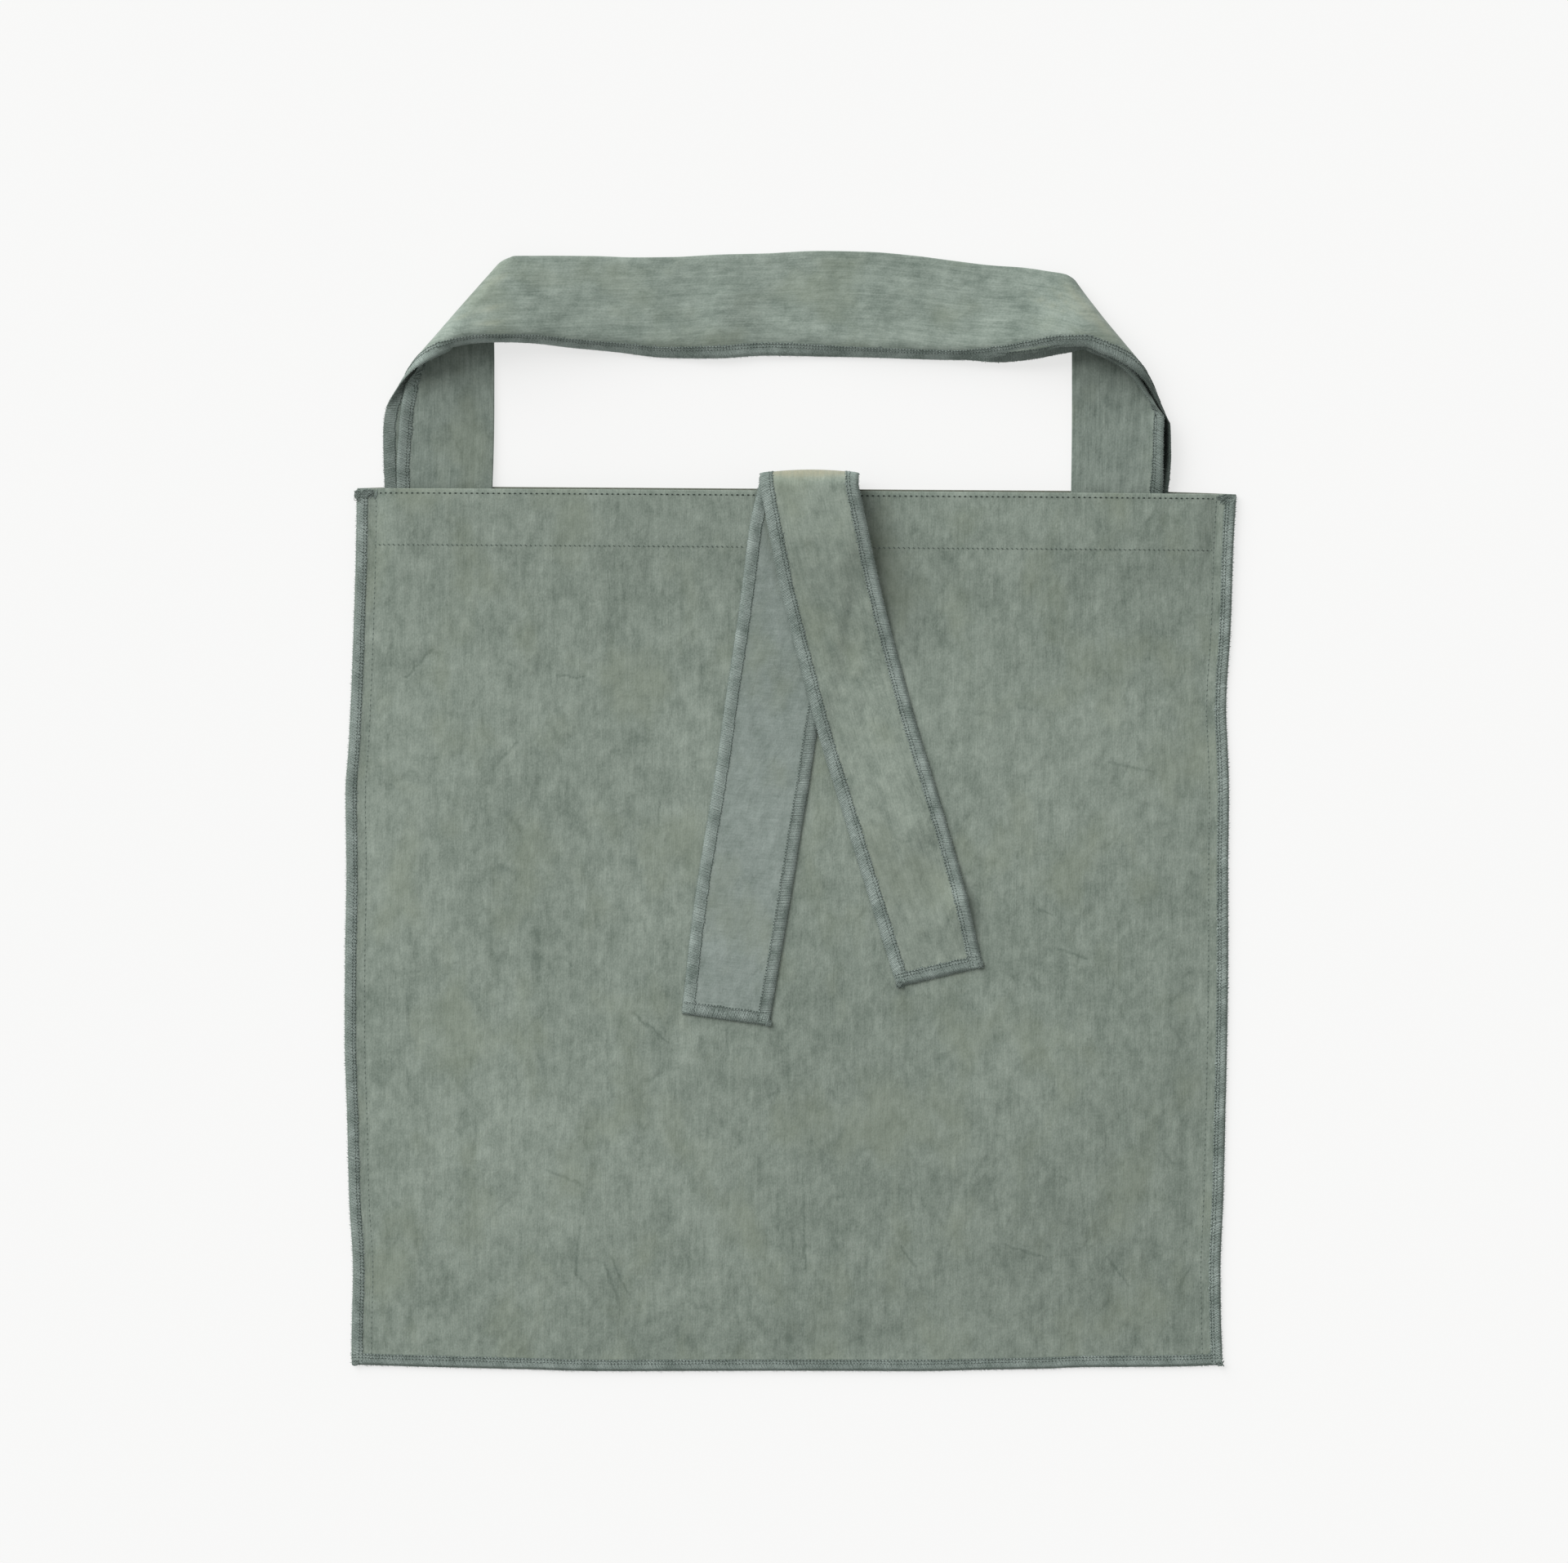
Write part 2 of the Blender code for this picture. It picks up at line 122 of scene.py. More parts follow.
bag = {
    "mouthLeft": 158.2,
    "mouthRight": 155.2,
    "bottom": (  # share of the way across, height
        (0.0, -271.0), (0.12, -272.5), (0.2, -273.3), (0.31, -274.2), (0.5, -274.0),
        (0.64, -274.2), (0.72, -273.6), (0.8, -273.0), (0.84, -272.3), (0.93, -272.1),
        (1.0, -271.2),
    ),
    "backProud": 1.2,  # the back's mouth stands this much above the front's
    "hem": 28.6,  # its depth
    # where, stitch length, slant, how wide and how dark the needle holes are
    "hemRows": ((-2.3, 2.65, 0.0, 2.0, 1.0), (-27.6, 2.4, 0.16, 1.6, 0.7)),
    "cloth": 0.5,  # its thickness
    "lowest": 0.55,  # middle of the back's cloth above what the bag lies on
    "pitch": 0.6,  # from one layer's middle to the next
    "threadRoom": 0.25,  # the overlocking lifts the seams by this much
    "threadOutside": 0.4,  # and reaches this far past the cloth
    "seam": 9.4,  # the side seam's stitches lie this far in
    "crown": 5.0,  # the front is this much higher in the middle, from this far inside the seams
    "crownReach": 110.0,
    "strapBulge": 1.8,  # over the strap's sewn ends
    "hemSlope": 70.0,  # the front rises over this length to the hem's second layer
    "foldSteps": 6,
    "frontGrid": (188, 187),  # columns, and rows up the body
    "backGrid": (120, 124),
    "sides": (  # height, left edge, right edge
        (-275, -215.2, 211.9), (-250, -214.9, 210.9), (-225, -214.3, 210.6), (-190, -216.2, 212),
        (-150, -217.2, 213), (-110, -218.4, 213.9), (-70, -218.2, 214.4), (-30, -217.6, 214.4),
        (10, -218, 214.8), (30, -216.6, 214.2), (50, -215.6, 213.4), (90, -214, 215.6),
        (130, -212.8, 216.9), (160, -212.4, 218.7),
    ),
    # ridges and troughs that show on the front: from x, y to x, y, half width, height
    "creases": (
        (-204, -20, -196, -150, 5, 0.5), (-86, -90, -78, -190, 8, 0.45), (-92, 60, -88, -60, 9, 0.3),
        (-160, 90, -186, 66, 3, -0.3), (-143, 34, -128, 46, 3, -0.3),
        (-150, -216, -108, -206, 3, -0.3), (-97, -216, -90, -246, 3, -0.35),
        (-176, -150, -172, -215, 3.4, -0.3), (-56, -150, -48, -190, 3, -0.3),
        (156, -140, 160, -190, 5, -0.4), (148, -222, 164, -240, 3, -0.4),
        (60, -226, 52, -208, 3, -0.3), (152, 34, 180, 26, 3, -0.25), (122, -60, 136, -66, 3, -0.25),
        (96, -166, 118, -184, 3, -0.25), (-6, -150, 2, -214, 5, 0.3), (108, 90, 124, 40, 8, 0.25),
        (-60, -300, 260, -60, 52, 1.4),
    ),
    # painted shade on the front, in the same way, by shares: towards the lower right where the light
    # falls off, along the hem at the left, and in the upper tie's shadow to its right
    "paintedShade": (
        (-70, -50, 310, -370, 75, 0.085), (-260, 142, 20, 142, 16, 0.07), (29, 178, 66, 60, 12, 0.14),
    ),
}
# sharp creases on the front, too fine for the sheet, drawn as lines of painted shade, from x, y below
# the mouth to x, y
fineCreases = (
    (-91.2, -378, -84, -398), (-88, -376, -80, -392), (-141, -132, -134, -124), (-188, -92, -175, -78),
    (-114, -91, -101, -92), (156, -132, 176, -136), (121, -204, 127, -206), (131, -223, 145, -228),
    (-77, -256, -60, -270), (-103, -360, -105, -384), (-119, -333, -102, -340), (54, -369, 61, -379),
    (105, -368, 124, -374), (155, -374, 166, -388), (190, -388, 196, -378), (6, -334, 7, -380),
)
sideRows = throughRows(bag["sides"], 6)
bottomRow = throughRows(bag["bottom"], 6)


def sidesAt(y):
    return [np.interp(y, sideRows[:, 0], sideRows[:, side]) for side in (1, 2)]


def mouthAt(across):
    return bag["mouthLeft"] + (bag["mouthRight"] - bag["mouthLeft"]) * across


def bottomAt(across):
    return np.interp(across, bottomRow[:, 0], bottomRow[:, 1])


def acrossAt(x, y):
    left, right = sidesAt(y)
    return np.clip((x - left) / (right - left), 0.0, 1.0)


def fromSeams(x, y):
    # distances from the nearer side and from the bottom
    left, right = sidesAt(y)
    return np.minimum(x - left, right - x), y - bottomAt(acrossAt(x, y))


def seamLift(x, y):
    side, bottom = fromSeams(x, y)
    return bag["threadRoom"] * ease(1.0 - np.minimum(side, bottom) / bag["seam"])


def frontRelief(x, y):
    side, bottom = fromSeams(x, y)
    held = ease((np.minimum(side, bottom) - 5.0) / 30.0)
    waves = 0.34 * softNoise(x, y, 60.0, 85.0, 3) + 0.14 * softNoise(x, y, 24.0, 48.0, 4)
    waves += 0.05 * softNoise(x, y, 9.0, 16.0, 5)
    pucker = 0.12 * softNoise(x, y, 14.0, 5.5, 6) * ease(1.0 - np.abs(side - bag["seam"]) / 14.0)
    return held * (waves + creaseHeight(x, y, bag["creases"])) + pucker


def frontHeight(x, y):
    # middle of the front's outer layer
    side, bottom = fromSeams(x, y)
    belowMouth = mouthAt(acrossAt(x, y)) - y
    reach = bag["crownReach"]
    crown = bag["crown"] * rise((side - bag["seam"]) / reach) * rise((bottom - 5.0) / reach)
    hemRise = ease((bag["hem"] + bag["hemSlope"] - belowMouth) / bag["hemSlope"])
    bulge = bag["strapBulge"] * ease((side - bag["seam"]) / 9.0) * ease((y - 100.0) / 40.0)
    base = bag["lowest"] + bag["pitch"] + 2 * bag["pitch"] * hemRise
    return base + seamLift(x, y) + crown + bulge + frontRelief(x, y)


def backHeight(x, y):
    return bag["lowest"] + seamLift(x, y)


def panelGrid(heightAt, mouthProud, turnSide, grid):
    # rows up the body, round the fold at the mouth and down the turned hem inside the bag
    across = np.linspace(0.0, 1.0, grid[0])
    inside = bag["threadOutside"]
    mouth = mouthAt(across) + mouthProud * rise(8.0 * across * (1.0 - across))
    bottom = bottomAt(across)
    radius = bag["pitch"] / 2
    fold = mouth - bag["cloth"] / 2 - radius
    points = []
    lengths = []

    def addRow(y, lift, length):
        level = np.minimum(y, fold)
        left, right = sidesAt(y)
        x = left + inside + (right - left - 2 * inside) * across
        points.append(np.stack([x, y, heightAt(x, level) + lift], axis=1))
        lengths.append(np.stack([x, length], axis=1))

    for share in np.linspace(0.0, 1.0, grid[1]):
        y = bottom + inside + (fold - bottom - inside) * share
        addRow(y, 0.0, y - mouth)
    for step in range(1, bag["foldSteps"]):
        angle = math.pi * step / bag["foldSteps"]
        climb = turnSide * radius * (1.0 - math.cos(angle))
        addRow(fold + radius * math.sin(angle), climb, fold - mouth + radius * angle)
    for share in np.linspace(0.0, 1.0, 10):
        depth = (bag["hem"] - bag["cloth"] / 2 - radius) * share
        addRow(fold - depth, turnSide * bag["pitch"], fold - mouth + radius * math.pi + depth)
    return np.array(points), np.array(lengths)


# The strap: one strip folded lengthwise, that turns over at both corners

strap = {
    "layerGap": 1.0,  # between the middles of its two layers
    "turnSteps": 8,
    "turnEases": 0.4,  # share of the curl that goes in the middle of a turn
    "across": 20,  # columns to a layer, and steps from one of its rows to the next
    "steps": 5,
    "curlFlat": 3.5,  # a curled raw edge is straight for this long, and then bends
    "curlReach": 10.0,
    # how far the right and the left leg are in the shade of the run, and so their raw edges, of
    # the outer and the inner layer
    "legShade": (0.29, 0.26),
    "edgeShade": ((0.85, 0.34), (0.38, 0.32)),
    # fold x, y, height, open x, y, height, how far short the inner layer falls, how far the two
    # gape, outer and inner curl in degrees, and where the strap turns the swing of fold and edge
    "rows": (
        (-146, 130.2, 2.35, -198.4, 130.2, 2.35, 6, -0.6, 0, 0),
        (-145.9, 145, 2.35, -198.4, 145, 2.35, 6, -0.6, 0, 0),
        (-145.8, 159.4, 2.3, -198.4, 159.4, 2.3, 6, -0.4, 0, 0),
        (-145.5, 168.6, 2, -198.8, 167.6, 2.2, 6.3, 0.2, 0, 0),
        (-145.2, 180, 1.8, -199, 175, 2, 6.9, 0.4, 0, 0),
        (-145, 198, 1.7, -199.1, 181.4, 2, 8, 0.6, 0, 0),
        (-145, 219, 1.6, -199.1, 185.8, 2, 9.4, 0.8, 0, 0),
        (-145.3, 241, 1.5, -198.8, 191, 2, 12, 1, 0, 0),
        (-145.6, 262, 1.5, -197.7, 197, 2, 15.7, 1, 4, 4, 2.2, 5.8),
        (-134.6, 271.6, 5.3, -165.6, 228.7, 18.4, 4, 1, 74, 60),
        (-125.2, 271.7, 4.9, -147.2, 230.8, 17.8, 3.6, 0.8, 74, 60),
        (-111.2, 271.8, 4, -127.2, 230.2, 14.8, 3.4, 0.6, 68, 56),
        (-97.2, 271.8, 3, -107.2, 227.9, 11.6, 3.4, 0.4, 62, 48),
        (-77.2, 271.2, 2.2, -84.4, 225.6, 8.2, 3.4, 0.2, 56, 38),
        (-57.2, 271.4, 1.8, -61.2, 222.7, 6.2, 3.4, 0.1, 44, 20),
        (-35.2, 272.6, 1.6, -36, 222.1, 5.2, 3.4, 0.2, 22, 8),
        (-11.2, 273.2, 1.6, -11.2, 223.4, 3.6, 3.4, 0.1, 14, 8),
        (12.8, 274.4, 1.6, 12.8, 223.2, 5.2, 3.4, 0.1, 34, 14),
        (36.8, 274, 1.6, 36.8, 223, 6.8, 3, 0.1, 50, 20),
        (60.8, 272, 1.7, 60, 222.3, 7.4, 2, 0.2, 54, 24),
        (80.8, 269.4, 1.8, 81.6, 221.8, 8.2, 0.4, 0.4, 54, 26),
        (98.8, 267.2, 2.2, 101.6, 223, 10.2, -2, 1.2, 46, 50),
        (112.8, 266.2, 2.8, 117.6, 225.6, 13.6, -2.6, 1.8, 48, 58),
        (124.8, 264.4, 3.9, 131.2, 228, 17, -1.8, 2.4, 52, 64),
        (134.4, 262.6, 5.3, 144.4, 228.6, 19.2, 0.4, 2.8, 60, 66, 4, 8.9),
        (137.6, 248.6, 1.5, 185.5, 190, 3.15, 4.8, 3.6, 70, 40),
        (137.8, 228, 1.5, 185.8, 182, 3.1, 5, 3.4, 70, 40),
        (137.8, 205, 1.6, 185.9, 174, 3, 4.6, 3, 68, 40),
        (137.7, 185, 1.8, 185.6, 168.6, 2.9, 3.9, 2.4, 58, 36),
        (137.5, 168.6, 2, 185.1, 162.6, 2.5, 3.1, 1, 36, 28),
        (137.3, 157, 2.3, 184.4, 157, 2.3, 2.6, 0, 16, 16),
        (137.2, 142, 2.35, 184.6, 142, 2.35, 2.8, -0.6, 0, 0),
        (137.2, 127.2, 2.35, 184.6, 127.2, 2.35, 3.2, -0.6, 0, 0),
    ),
    # ridges and troughs on the run, as on the front
    "creases": (
        (-40, 224, -28, 262, 7, 1.8), (-20, 226, -2, 262, 7, -0.9), (-70, 268, -48, 236, 6, 0.5),
        (30, 268, 46, 236, 8, 0.5), (-128, 262, -96, 240, 5, -0.5), (84, 262, 100, 236, 7, -0.6),
    ),
    # where the run is rubbed paler, in the same way
    "rubbed": (
        (-168, 240, -138, 247, 0.8, 0.34), (-160, 235.6, -134, 240, 0.7, 0.3),
        (-152, 256, -138, 262, 1.4, 0.24), (130, 262, 160, 228, 2.2, 0.34),
        (124, 258, 150, 236, 1.2, 0.26), (114, 254, 138, 242, 1, 0.2),
    ),
}


def turnOver(start, end):
    # rows between the two that a turn joins: both edges swing through half a circle
    swings = start[10:]
    start = np.array(start[:10], float)
    end = np.array(end[:10], float)
    crease = start[3:6] + end[3:6] - start[0:3] - end[0:3]
    outward = np.array([-crease[1], crease[0], 0.0]) / math.hypot(crease[0], crease[1])
    outward = outward * np.sign(outward[1])
    rows = []
    for step in range(1, strap["turnSteps"]):
        angle = math.pi * step / strap["turnSteps"]
        row = start + (end - start) * step / strap["turnSteps"]
        row[8:10] *= 1.0 - strap["turnEases"] * math.sin(angle)
        for first, swing in zip((0, 3), swings):
            row[first:first + 3] += outward * swing * math.sin(angle)
            climb = end[first + 2] - start[first + 2]
            row[first + 2] = start[first + 2] + climb * (1.0 - math.cos(angle)) / 2
        rows.append(row)
    return rows


def curled(reach, edge, degrees, slant):
    # A raw edge that curls over stays where it is in plan. The cloth beside it moves out to it
    # and drops. Gives each station's new reach and its drop.
    distance = np.linspace(0.0, strap["curlReach"], 41)
    middle = (distance[1:] + distance[:-1]) / 2
    bending = (middle - strap["curlFlat"]) / (strap["curlReach"] - strap["curlFlat"])
    lean = np.radians(degrees)[:, None] * (1.0 - ease(bending))
    inward, down = [
        np.concatenate([[[0.0]] * len(reach), np.cumsum(part, axis=1)], axis=1)
        for part in (np.cos(lean), np.sin(lean))
    ]
    away = (edge - reach) * slant
    saved = []
    drop = []
    for k in range(len(reach)):
        saved.append(np.interp(away[k], distance, distance - inward[k] * distance[1]))
        drop.append((down[k, -1] - np.interp(away[k], distance, down[k])) * distance[1])
    whole = edge * slant
    dying = 1.0 - np.clip((away - distance[-1]) / (whole - distance[-1]), 0.0, 1.0)
    return reach + np.array(saved) * dying / slant, np.array(drop)


def strapGrid(across, steps):
    # each row goes from the outer layer's raw edge, round the fold, to the inner layer's raw edge
    knots = []
    turned = []
    for row, after in zip(strap["rows"], strap["rows"][1:] + (None,)):
        knots.append(np.array(row[:10], float))
        turned.append(False)
        if len(row) > 10:
            knots += turnOver(row, after)
            turned += [True] * (strap["turnSteps"] - 1)
    stations = throughRows(knots, steps)
    fold = stations[:, 0:3]
    ruling = stations[:, 3:6] - fold
    width = np.linalg.norm(ruling, axis=1)
    ruling = ruling / width[:, None]

    # how each ruling slants across the flat strip, read off where the strap isn't turning
    heading = unit(np.gradient(fold, axis=0))
    flat = [k for k in range(len(stations)) if not (
        turned[k // steps] or turned[min(-(-k // steps), len(turned) - 1)]
    )]
    aside = np.linalg.norm(np.cross(ruling, heading), axis=1)
    slant, ahead = [
        np.interp(np.arange(len(stations)), flat, values[flat])
        for values in (aside, np.sum(ruling * heading, axis=1))
    ]
    bend = strap["layerGap"] / 2
    inset = bend + bag["cloth"] / 2
    # columns lie closer together towards the raw edges
    shares = 1.0 - np.linspace(0.0, 1.0, across) ** 1.5
    foldSteps = bag["foldSteps"]
    points = np.zeros((len(stations), 2 * across + foldSteps - 1, 3))
    strip = np.zeros(points.shape[:2] + (2,))

    def sheetAt(reach):
        path = fold + ruling * reach[:, None]
        return path, unit(np.cross(ruling, np.gradient(path, axis=0)))

    def relief(path):
        wave = 0.22 * softNoise(path[:, 0], path[:, 1], 26.0, 26.0, 11)
        wave += 0.10 * softNoise(path[:, 0], path[:, 1], 11.0, 11.0, 12)
        onRun = ease((path[:, 1] - 221.0) / 8.0)
        return wave + onRun * creaseHeight(path[:, 0], path[:, 1], strap["creases"])

    for column, share in enumerate(shares):
        half = bend + stations[:, 7] / 2 * share ** 2
        for side, place, edge, curl in (
            (1.0, column, width, stations[:, 8]),
            (-1.0, -1 - column, width - stations[:, 6], stations[:, 9]),
        ):
            reach = inset + (edge - inset) * share
            bent, drop = curled(reach, edge, curl, slant)
            path, normal = sheetAt(reach)
            ripple = relief(path) * ease(share * 3.0) * (1.0 - 0.5 * share)
            raised = side * half + ripple - drop
            points[:, place] = path + ruling * (bent - reach)[:, None] + normal * raised[:, None]
            strip[:, place, 0] = -side * reach * slant
            strip[:, place, 1] = travelAlong(fold) + reach * ahead
    path, normal = sheetAt(np.full(len(stations), inset))
    for step in range(1, foldSteps):
        angle = math.pi * step / foldSteps
        turn = normal * bend * math.cos(angle) - ruling * bend * math.sin(angle)
        points[:, across - 1 + step] = path + turn
        strip[:, across - 1 + step, 0] = -inset * math.cos(angle)
        strip[:, across - 1 + step, 1] = travelAlong(fold)
    return points, strip


# The ties: sewn inside the hems and folded over the mouth

ties = {
    "lie": 0.95,  # a tie's middle above the layer it lies on, lifted by its own overlocking
    "across": 24,  # columns
    "foldSteps": 14,
    "width": 47.0,
    "frontFold": (161.0, 164.0),  # where the fold begins and how far it reaches
    "frontInner": (-10.6, 35.6),  # left and right edge at the end sewn inside
    "frontLift": (1.2, 34.0),  # height above where it would lie, and the length it dies out over
    "frontRows": (  # left x, left y, right x, right y
        (-14.8, 161, 31, 161), (-19.6, 139.4, 27.6, 138.2), (-22.4, 117.4, 24.4, 115),
        (-25.4, 94.6, 21.2, 91.4), (-31.6, 53.4, 14, 49.2), (-36, 21.4, 9.2, 16.6),
        (-40.8, -7.4, 4.4, -12.2), (-46.4, -42.6, -1.2, -47.4), (-49.8, -70.6, -6, -75.6),
        (-52.8, -98.6, -10.8, -104.2),
    ),
    "backFold": (158.8, 166.95),
    "backInner": (-20.0, 27.0),
    "backLift": (10.4, 84.0),
    "backRows": (
        (-14.4, 158.8, 32.8, 158.8), (-10.4, 137.4, 37.2, 138.2), (-6, 115.4, 41.6, 117.4),
        (-0.8, 93.4, 46.4, 97.4), (6.4, 65.4, 53.2, 71.8), (14, 37.4, 60.4, 45.4), (26.4, -2.6, 72, 7),
        (38.8, -42.6, 83.4, -32.6), (52.4, -85.4, 93.6, -75.8),
    ),
    "slope": (1.5, 9.0),  # beside the lower tie, where the upper one starts and stops sinking
    "kink": (86.0, -46.0, 13.0, 3.2),  # x, y, radius and height of the raised edge near the end
    "backCreases": (
        (20, 118, 40, 104, 7, -0.6), (30, 52, 52, 44, 6, -0.5), (56, -2, 70, -14, 8, 0.5),
        (48, -40, 66, -46, 6, -0.4),
    ),
    "frontCreases": (
        (-24, 76, 10, 70, 6, 0.4), (-36, 8, -8, 2, 5, -0.35), (-44, -66, -14, -76, 5, 0.45),
    ),
}
lowerTieEdge = throughRows(ties["frontRows"], 6)[::-1]
upperTieEdge = throughRows(ties["backRows"], 6)[::-1]


def tieFrontHeight(x, y):
    lift, length = ties["frontLift"]
    wave = 0.16 * softNoise(x, y, 15.0, 22.0, 21) + creaseHeight(x, y, ties["frontCreases"])
    raised = lift * ease(1.0 - (ties["frontFold"][0] - y) / length)
    return frontHeight(x, y) + ties["lie"] + raised + np.maximum(wave, -0.25)


def tieBackHeight(x, y):
    lift, length = ties["backLift"]
    beside = x - np.interp(y, lowerTieEdge[:, 3], lowerTieEdge[:, 2])
    overTie = ease((ties["slope"][1] - beside) / (ties["slope"][1] - ties["slope"][0]))
    kinkX, kinkY, kinkRadius, kinkHeight = ties["kink"]
    kink = kinkHeight * np.exp(-((x - kinkX) ** 2 + (y - kinkY) ** 2) / kinkRadius ** 2)
    fall = ease(1.0 - (ties["backFold"][0] - y) / length)
    across = (x - np.interp(y, upperTieEdge[:, 1], upperTieEdge[:, 0])) / ties["width"]
    fall = fall * (0.5 + 0.5 * ease(across))
    wave = 0.22 * softNoise(x, y, 17.0, 24.0, 22) + creaseHeight(x, y, ties["backCreases"])
    raised = ties["lie"] * (1.0 + 1.25 * overTie) + lift * fall + kink
    return frontHeight(x, y) + raised + np.maximum(wave, -0.25)


def tieGrid(which, innerHeight, heightAt, steps, arching):
    # rows from the end sewn inside the bag, up round the fold and down along the front
    rows = ties[which + "Rows"]
    turnY, foldTop = ties[which + "Fold"]
    shares = np.linspace(0.0, 1.0, ties["across"])
    innerEnd = mouthAt(0.5) - bag["hem"]
    outer = throughRows(rows, steps)

    def between(left, right):
        return left + (right - left) * shares

    innerX = between(*ties[which + "Inner"])
    firstX = between(outer[0][0], outer[0][2])
    top = heightAt(firstX, np.full_like(shares, turnY))
    arch = arching * (2.0 * shares - 1.0) ** 2
    points = []
    for share in np.linspace(0.0, 1.0, ties["foldSteps"]):
        x = innerX + (firstX - innerX) * share
        y = np.full_like(x, innerEnd + (turnY - innerEnd) * share)
        points.append(np.stack([x, y, np.full_like(x, innerHeight)], axis=1))
    for step in range(1, ties["foldSteps"]):
        angle = math.pi * step / ties["foldSteps"]
        y = turnY + (foldTop - bag["cloth"] / 2 - turnY - arch) * math.sin(angle)
        z = innerHeight + (top - innerHeight) * (1.0 - math.cos(angle)) / 2
        points.append(np.stack([firstX, y, z], axis=1))
    for row in outer:
        x = between(row[0], row[2])
        y = between(row[1], row[3])
        points.append(np.stack([x, y, heightAt(x, y)], axis=1))
    points = np.array(points)
    strip = np.zeros(points.shape[:2] + (2,))
    strip[:, :, 0] = (rows[0][2] - rows[0][0]) * shares
    strip[:, :, 1] = travelAlong(points[:, ties["across"] // 2])[:, None]
    return points, strip


# Making a sheet: a grid laid out on its plan, given its weave directions and then its thickness

def deselect():
    bpy.ops.object.select_all(action="DESELECT")


def makeSheet(name, points, strip, facts):
    # facts are numbers to a point that the material reads, such as how far it is from an edge
    rows, columns = points.shape[:2]
    deselect()
    bpy.ops.mesh.primitive_grid_add(
        x_subdivisions=columns - 1, y_subdivisions=rows - 1, size=1.0, calc_uvs=True
    )
    sheet = bpy.context.object
    sheet.name = name
    mesh = sheet.data
    start = np.empty(len(mesh.vertices) * 3)
    mesh.vertices.foreach_get("co", start)
    start = start.reshape(-1, 3) + 0.5
    column = np.round(start[:, 0] * (columns - 1)).astype(int)
    row = np.round(start[:, 1] * (rows - 1)).astype(int)
    mesh.vertices.foreach_set("co", (points[row, column] * mm).ravel())
    loops = np.empty(len(mesh.loops), int)
    mesh.loops.foreach_get("vertex_index", loops)
    mesh.uv_layers[0].name = "weave"
    mesh.uv_layers[0].data.foreach_set("uv", (strip[row, column][loops] * mm).ravel())
    for fact, values in facts.items():
        layer = mesh.attributes.new(fact, "FLOAT", "POINT")
        layer.data.foreach_set("value", values[row, column].astype(np.float32))
    thicken = sheet.modifiers.new("cloth", "SOLIDIFY")
    thicken.thickness = bag["cloth"] * mm
    thicken.offset = 0.0
    bpy.ops.object.modifier_apply(modifier="cloth")
    sheet.data.shade_smooth()
    return sheet


# Sewing: a stitch is modelled once as along, inward and up, then copied along a band of cloth

sewingPlan = {
    # overlocking of the body's seams, and of the strap and the ties: half the thickness that it
    # goes round, stitch length, and the two needle rows' distances from the raw edge
    "body": ((bag["pitch"] + bag["cloth"]) / 2, 1.65, (4.7, 3.3)),
    "small": (bag["cloth"] / 2, 1.5, (5.6, 4.1)),
    "looper": 0.94,  # thicknesses of the threads, and how flat the looper's is pressed
    "pressed": 0.36,
    "needle": 0.36,
    "lockstitch": 0.40,
    "whisker": 0.24,
    "whiskerPitch": 0.7,
    "wrapPitch": 0.7,
    "seamPitch": 2.5,
    "step": 1.3,  # a band of cloth is followed inwards in steps of this length
    "steps": 5,
}


def gridNormals(points):
    return unit(np.cross(np.gradient(points, axis=1), np.gradient(points, axis=0)))


def bandBeside(points, edge, facing, drop=0.0, covered=7):
    # The cloth beside a raw edge, followed inwards: places and upward directions. Facing is -1
    # where the needle side is the underside of the grid.
    if edge in ("first", "last"):
        points = np.swapaxes(points, 0, 1)
    if edge in ("last", "end"):
        points = points[::-1]
    part = points[:covered]
    flip = -1.0 if edge in ("first", "end") else 1.0
    normals = gridNormals(part) * flip * facing
    rows, columns = part.shape[:2]
    faces = [
        (k * columns + j, k * columns + j + 1, (k + 1) * columns + j + 1, (k + 1) * columns + j)
        for k in range(rows - 1) for j in range(columns - 1)
    ]
    surface = BVHTree.FromPolygons(part.reshape(-1, 3).tolist(), faces)
    travel = travelAlong(part[0])
    spots = np.linspace(0.0, travel[-1], int(travel[-1]))
    spread = np.concatenate([part[0], normals[0], part[1] - part[0]], axis=1)
    line = np.stack([np.interp(spots, travel, spread[:, k]) for k in range(9)], axis=1)
    place, up, inside = line[:, 0:3], unit(line[:, 3:6]), line[:, 6:9]
    inward = unit(np.cross(up, np.gradient(place, axis=0)))
    inward = inward * np.sign(np.sum(inward * inside, axis=1, keepdims=True))
    band = [place]
    for _ in range(sewingPlan["steps"]):
        ahead = band[-1] + inward * sewingPlan["step"]
        found = np.array([surface.find_nearest(spot)[0] for spot in ahead.tolist()])
        inward = unit(found - band[-1])
        band.append(band[-1] + inward * sewingPlan["step"])
    band = np.array(band).transpose(1, 0, 2)
    ups = gridNormals(band)
    ups = ups * np.sign(np.sum(ups * up[:, None], axis=2, keepdims=True))
    return band - ups * drop, ups


def bandOn(points, levels, level, facing):
    # a straight line of cloth across the grid, where these levels pass the level wanted
    normals = gridNormals(points) * facing
    spread = np.concatenate([points, normals], axis=2)
    line = []
    for column in range(points.shape[1]):
        order = np.argsort(levels[:, column])
        line.append([
            np.interp(level, levels[order, column], spread[order, column, k]) for k in range(6)
        ])
    line = np.array(line)
    place, up = line[:, :3], unit(line[:, 3:])
    inward = unit(np.cross(up, np.gradient(place, axis=0)))
    reach = np.arange(sewingPlan["steps"] + 1)[None, :, None] * sewingPlan["step"]
    return place[:, None] + inward[:, None] * reach, np.repeat(up[:, None], reach.shape[1], axis=1)


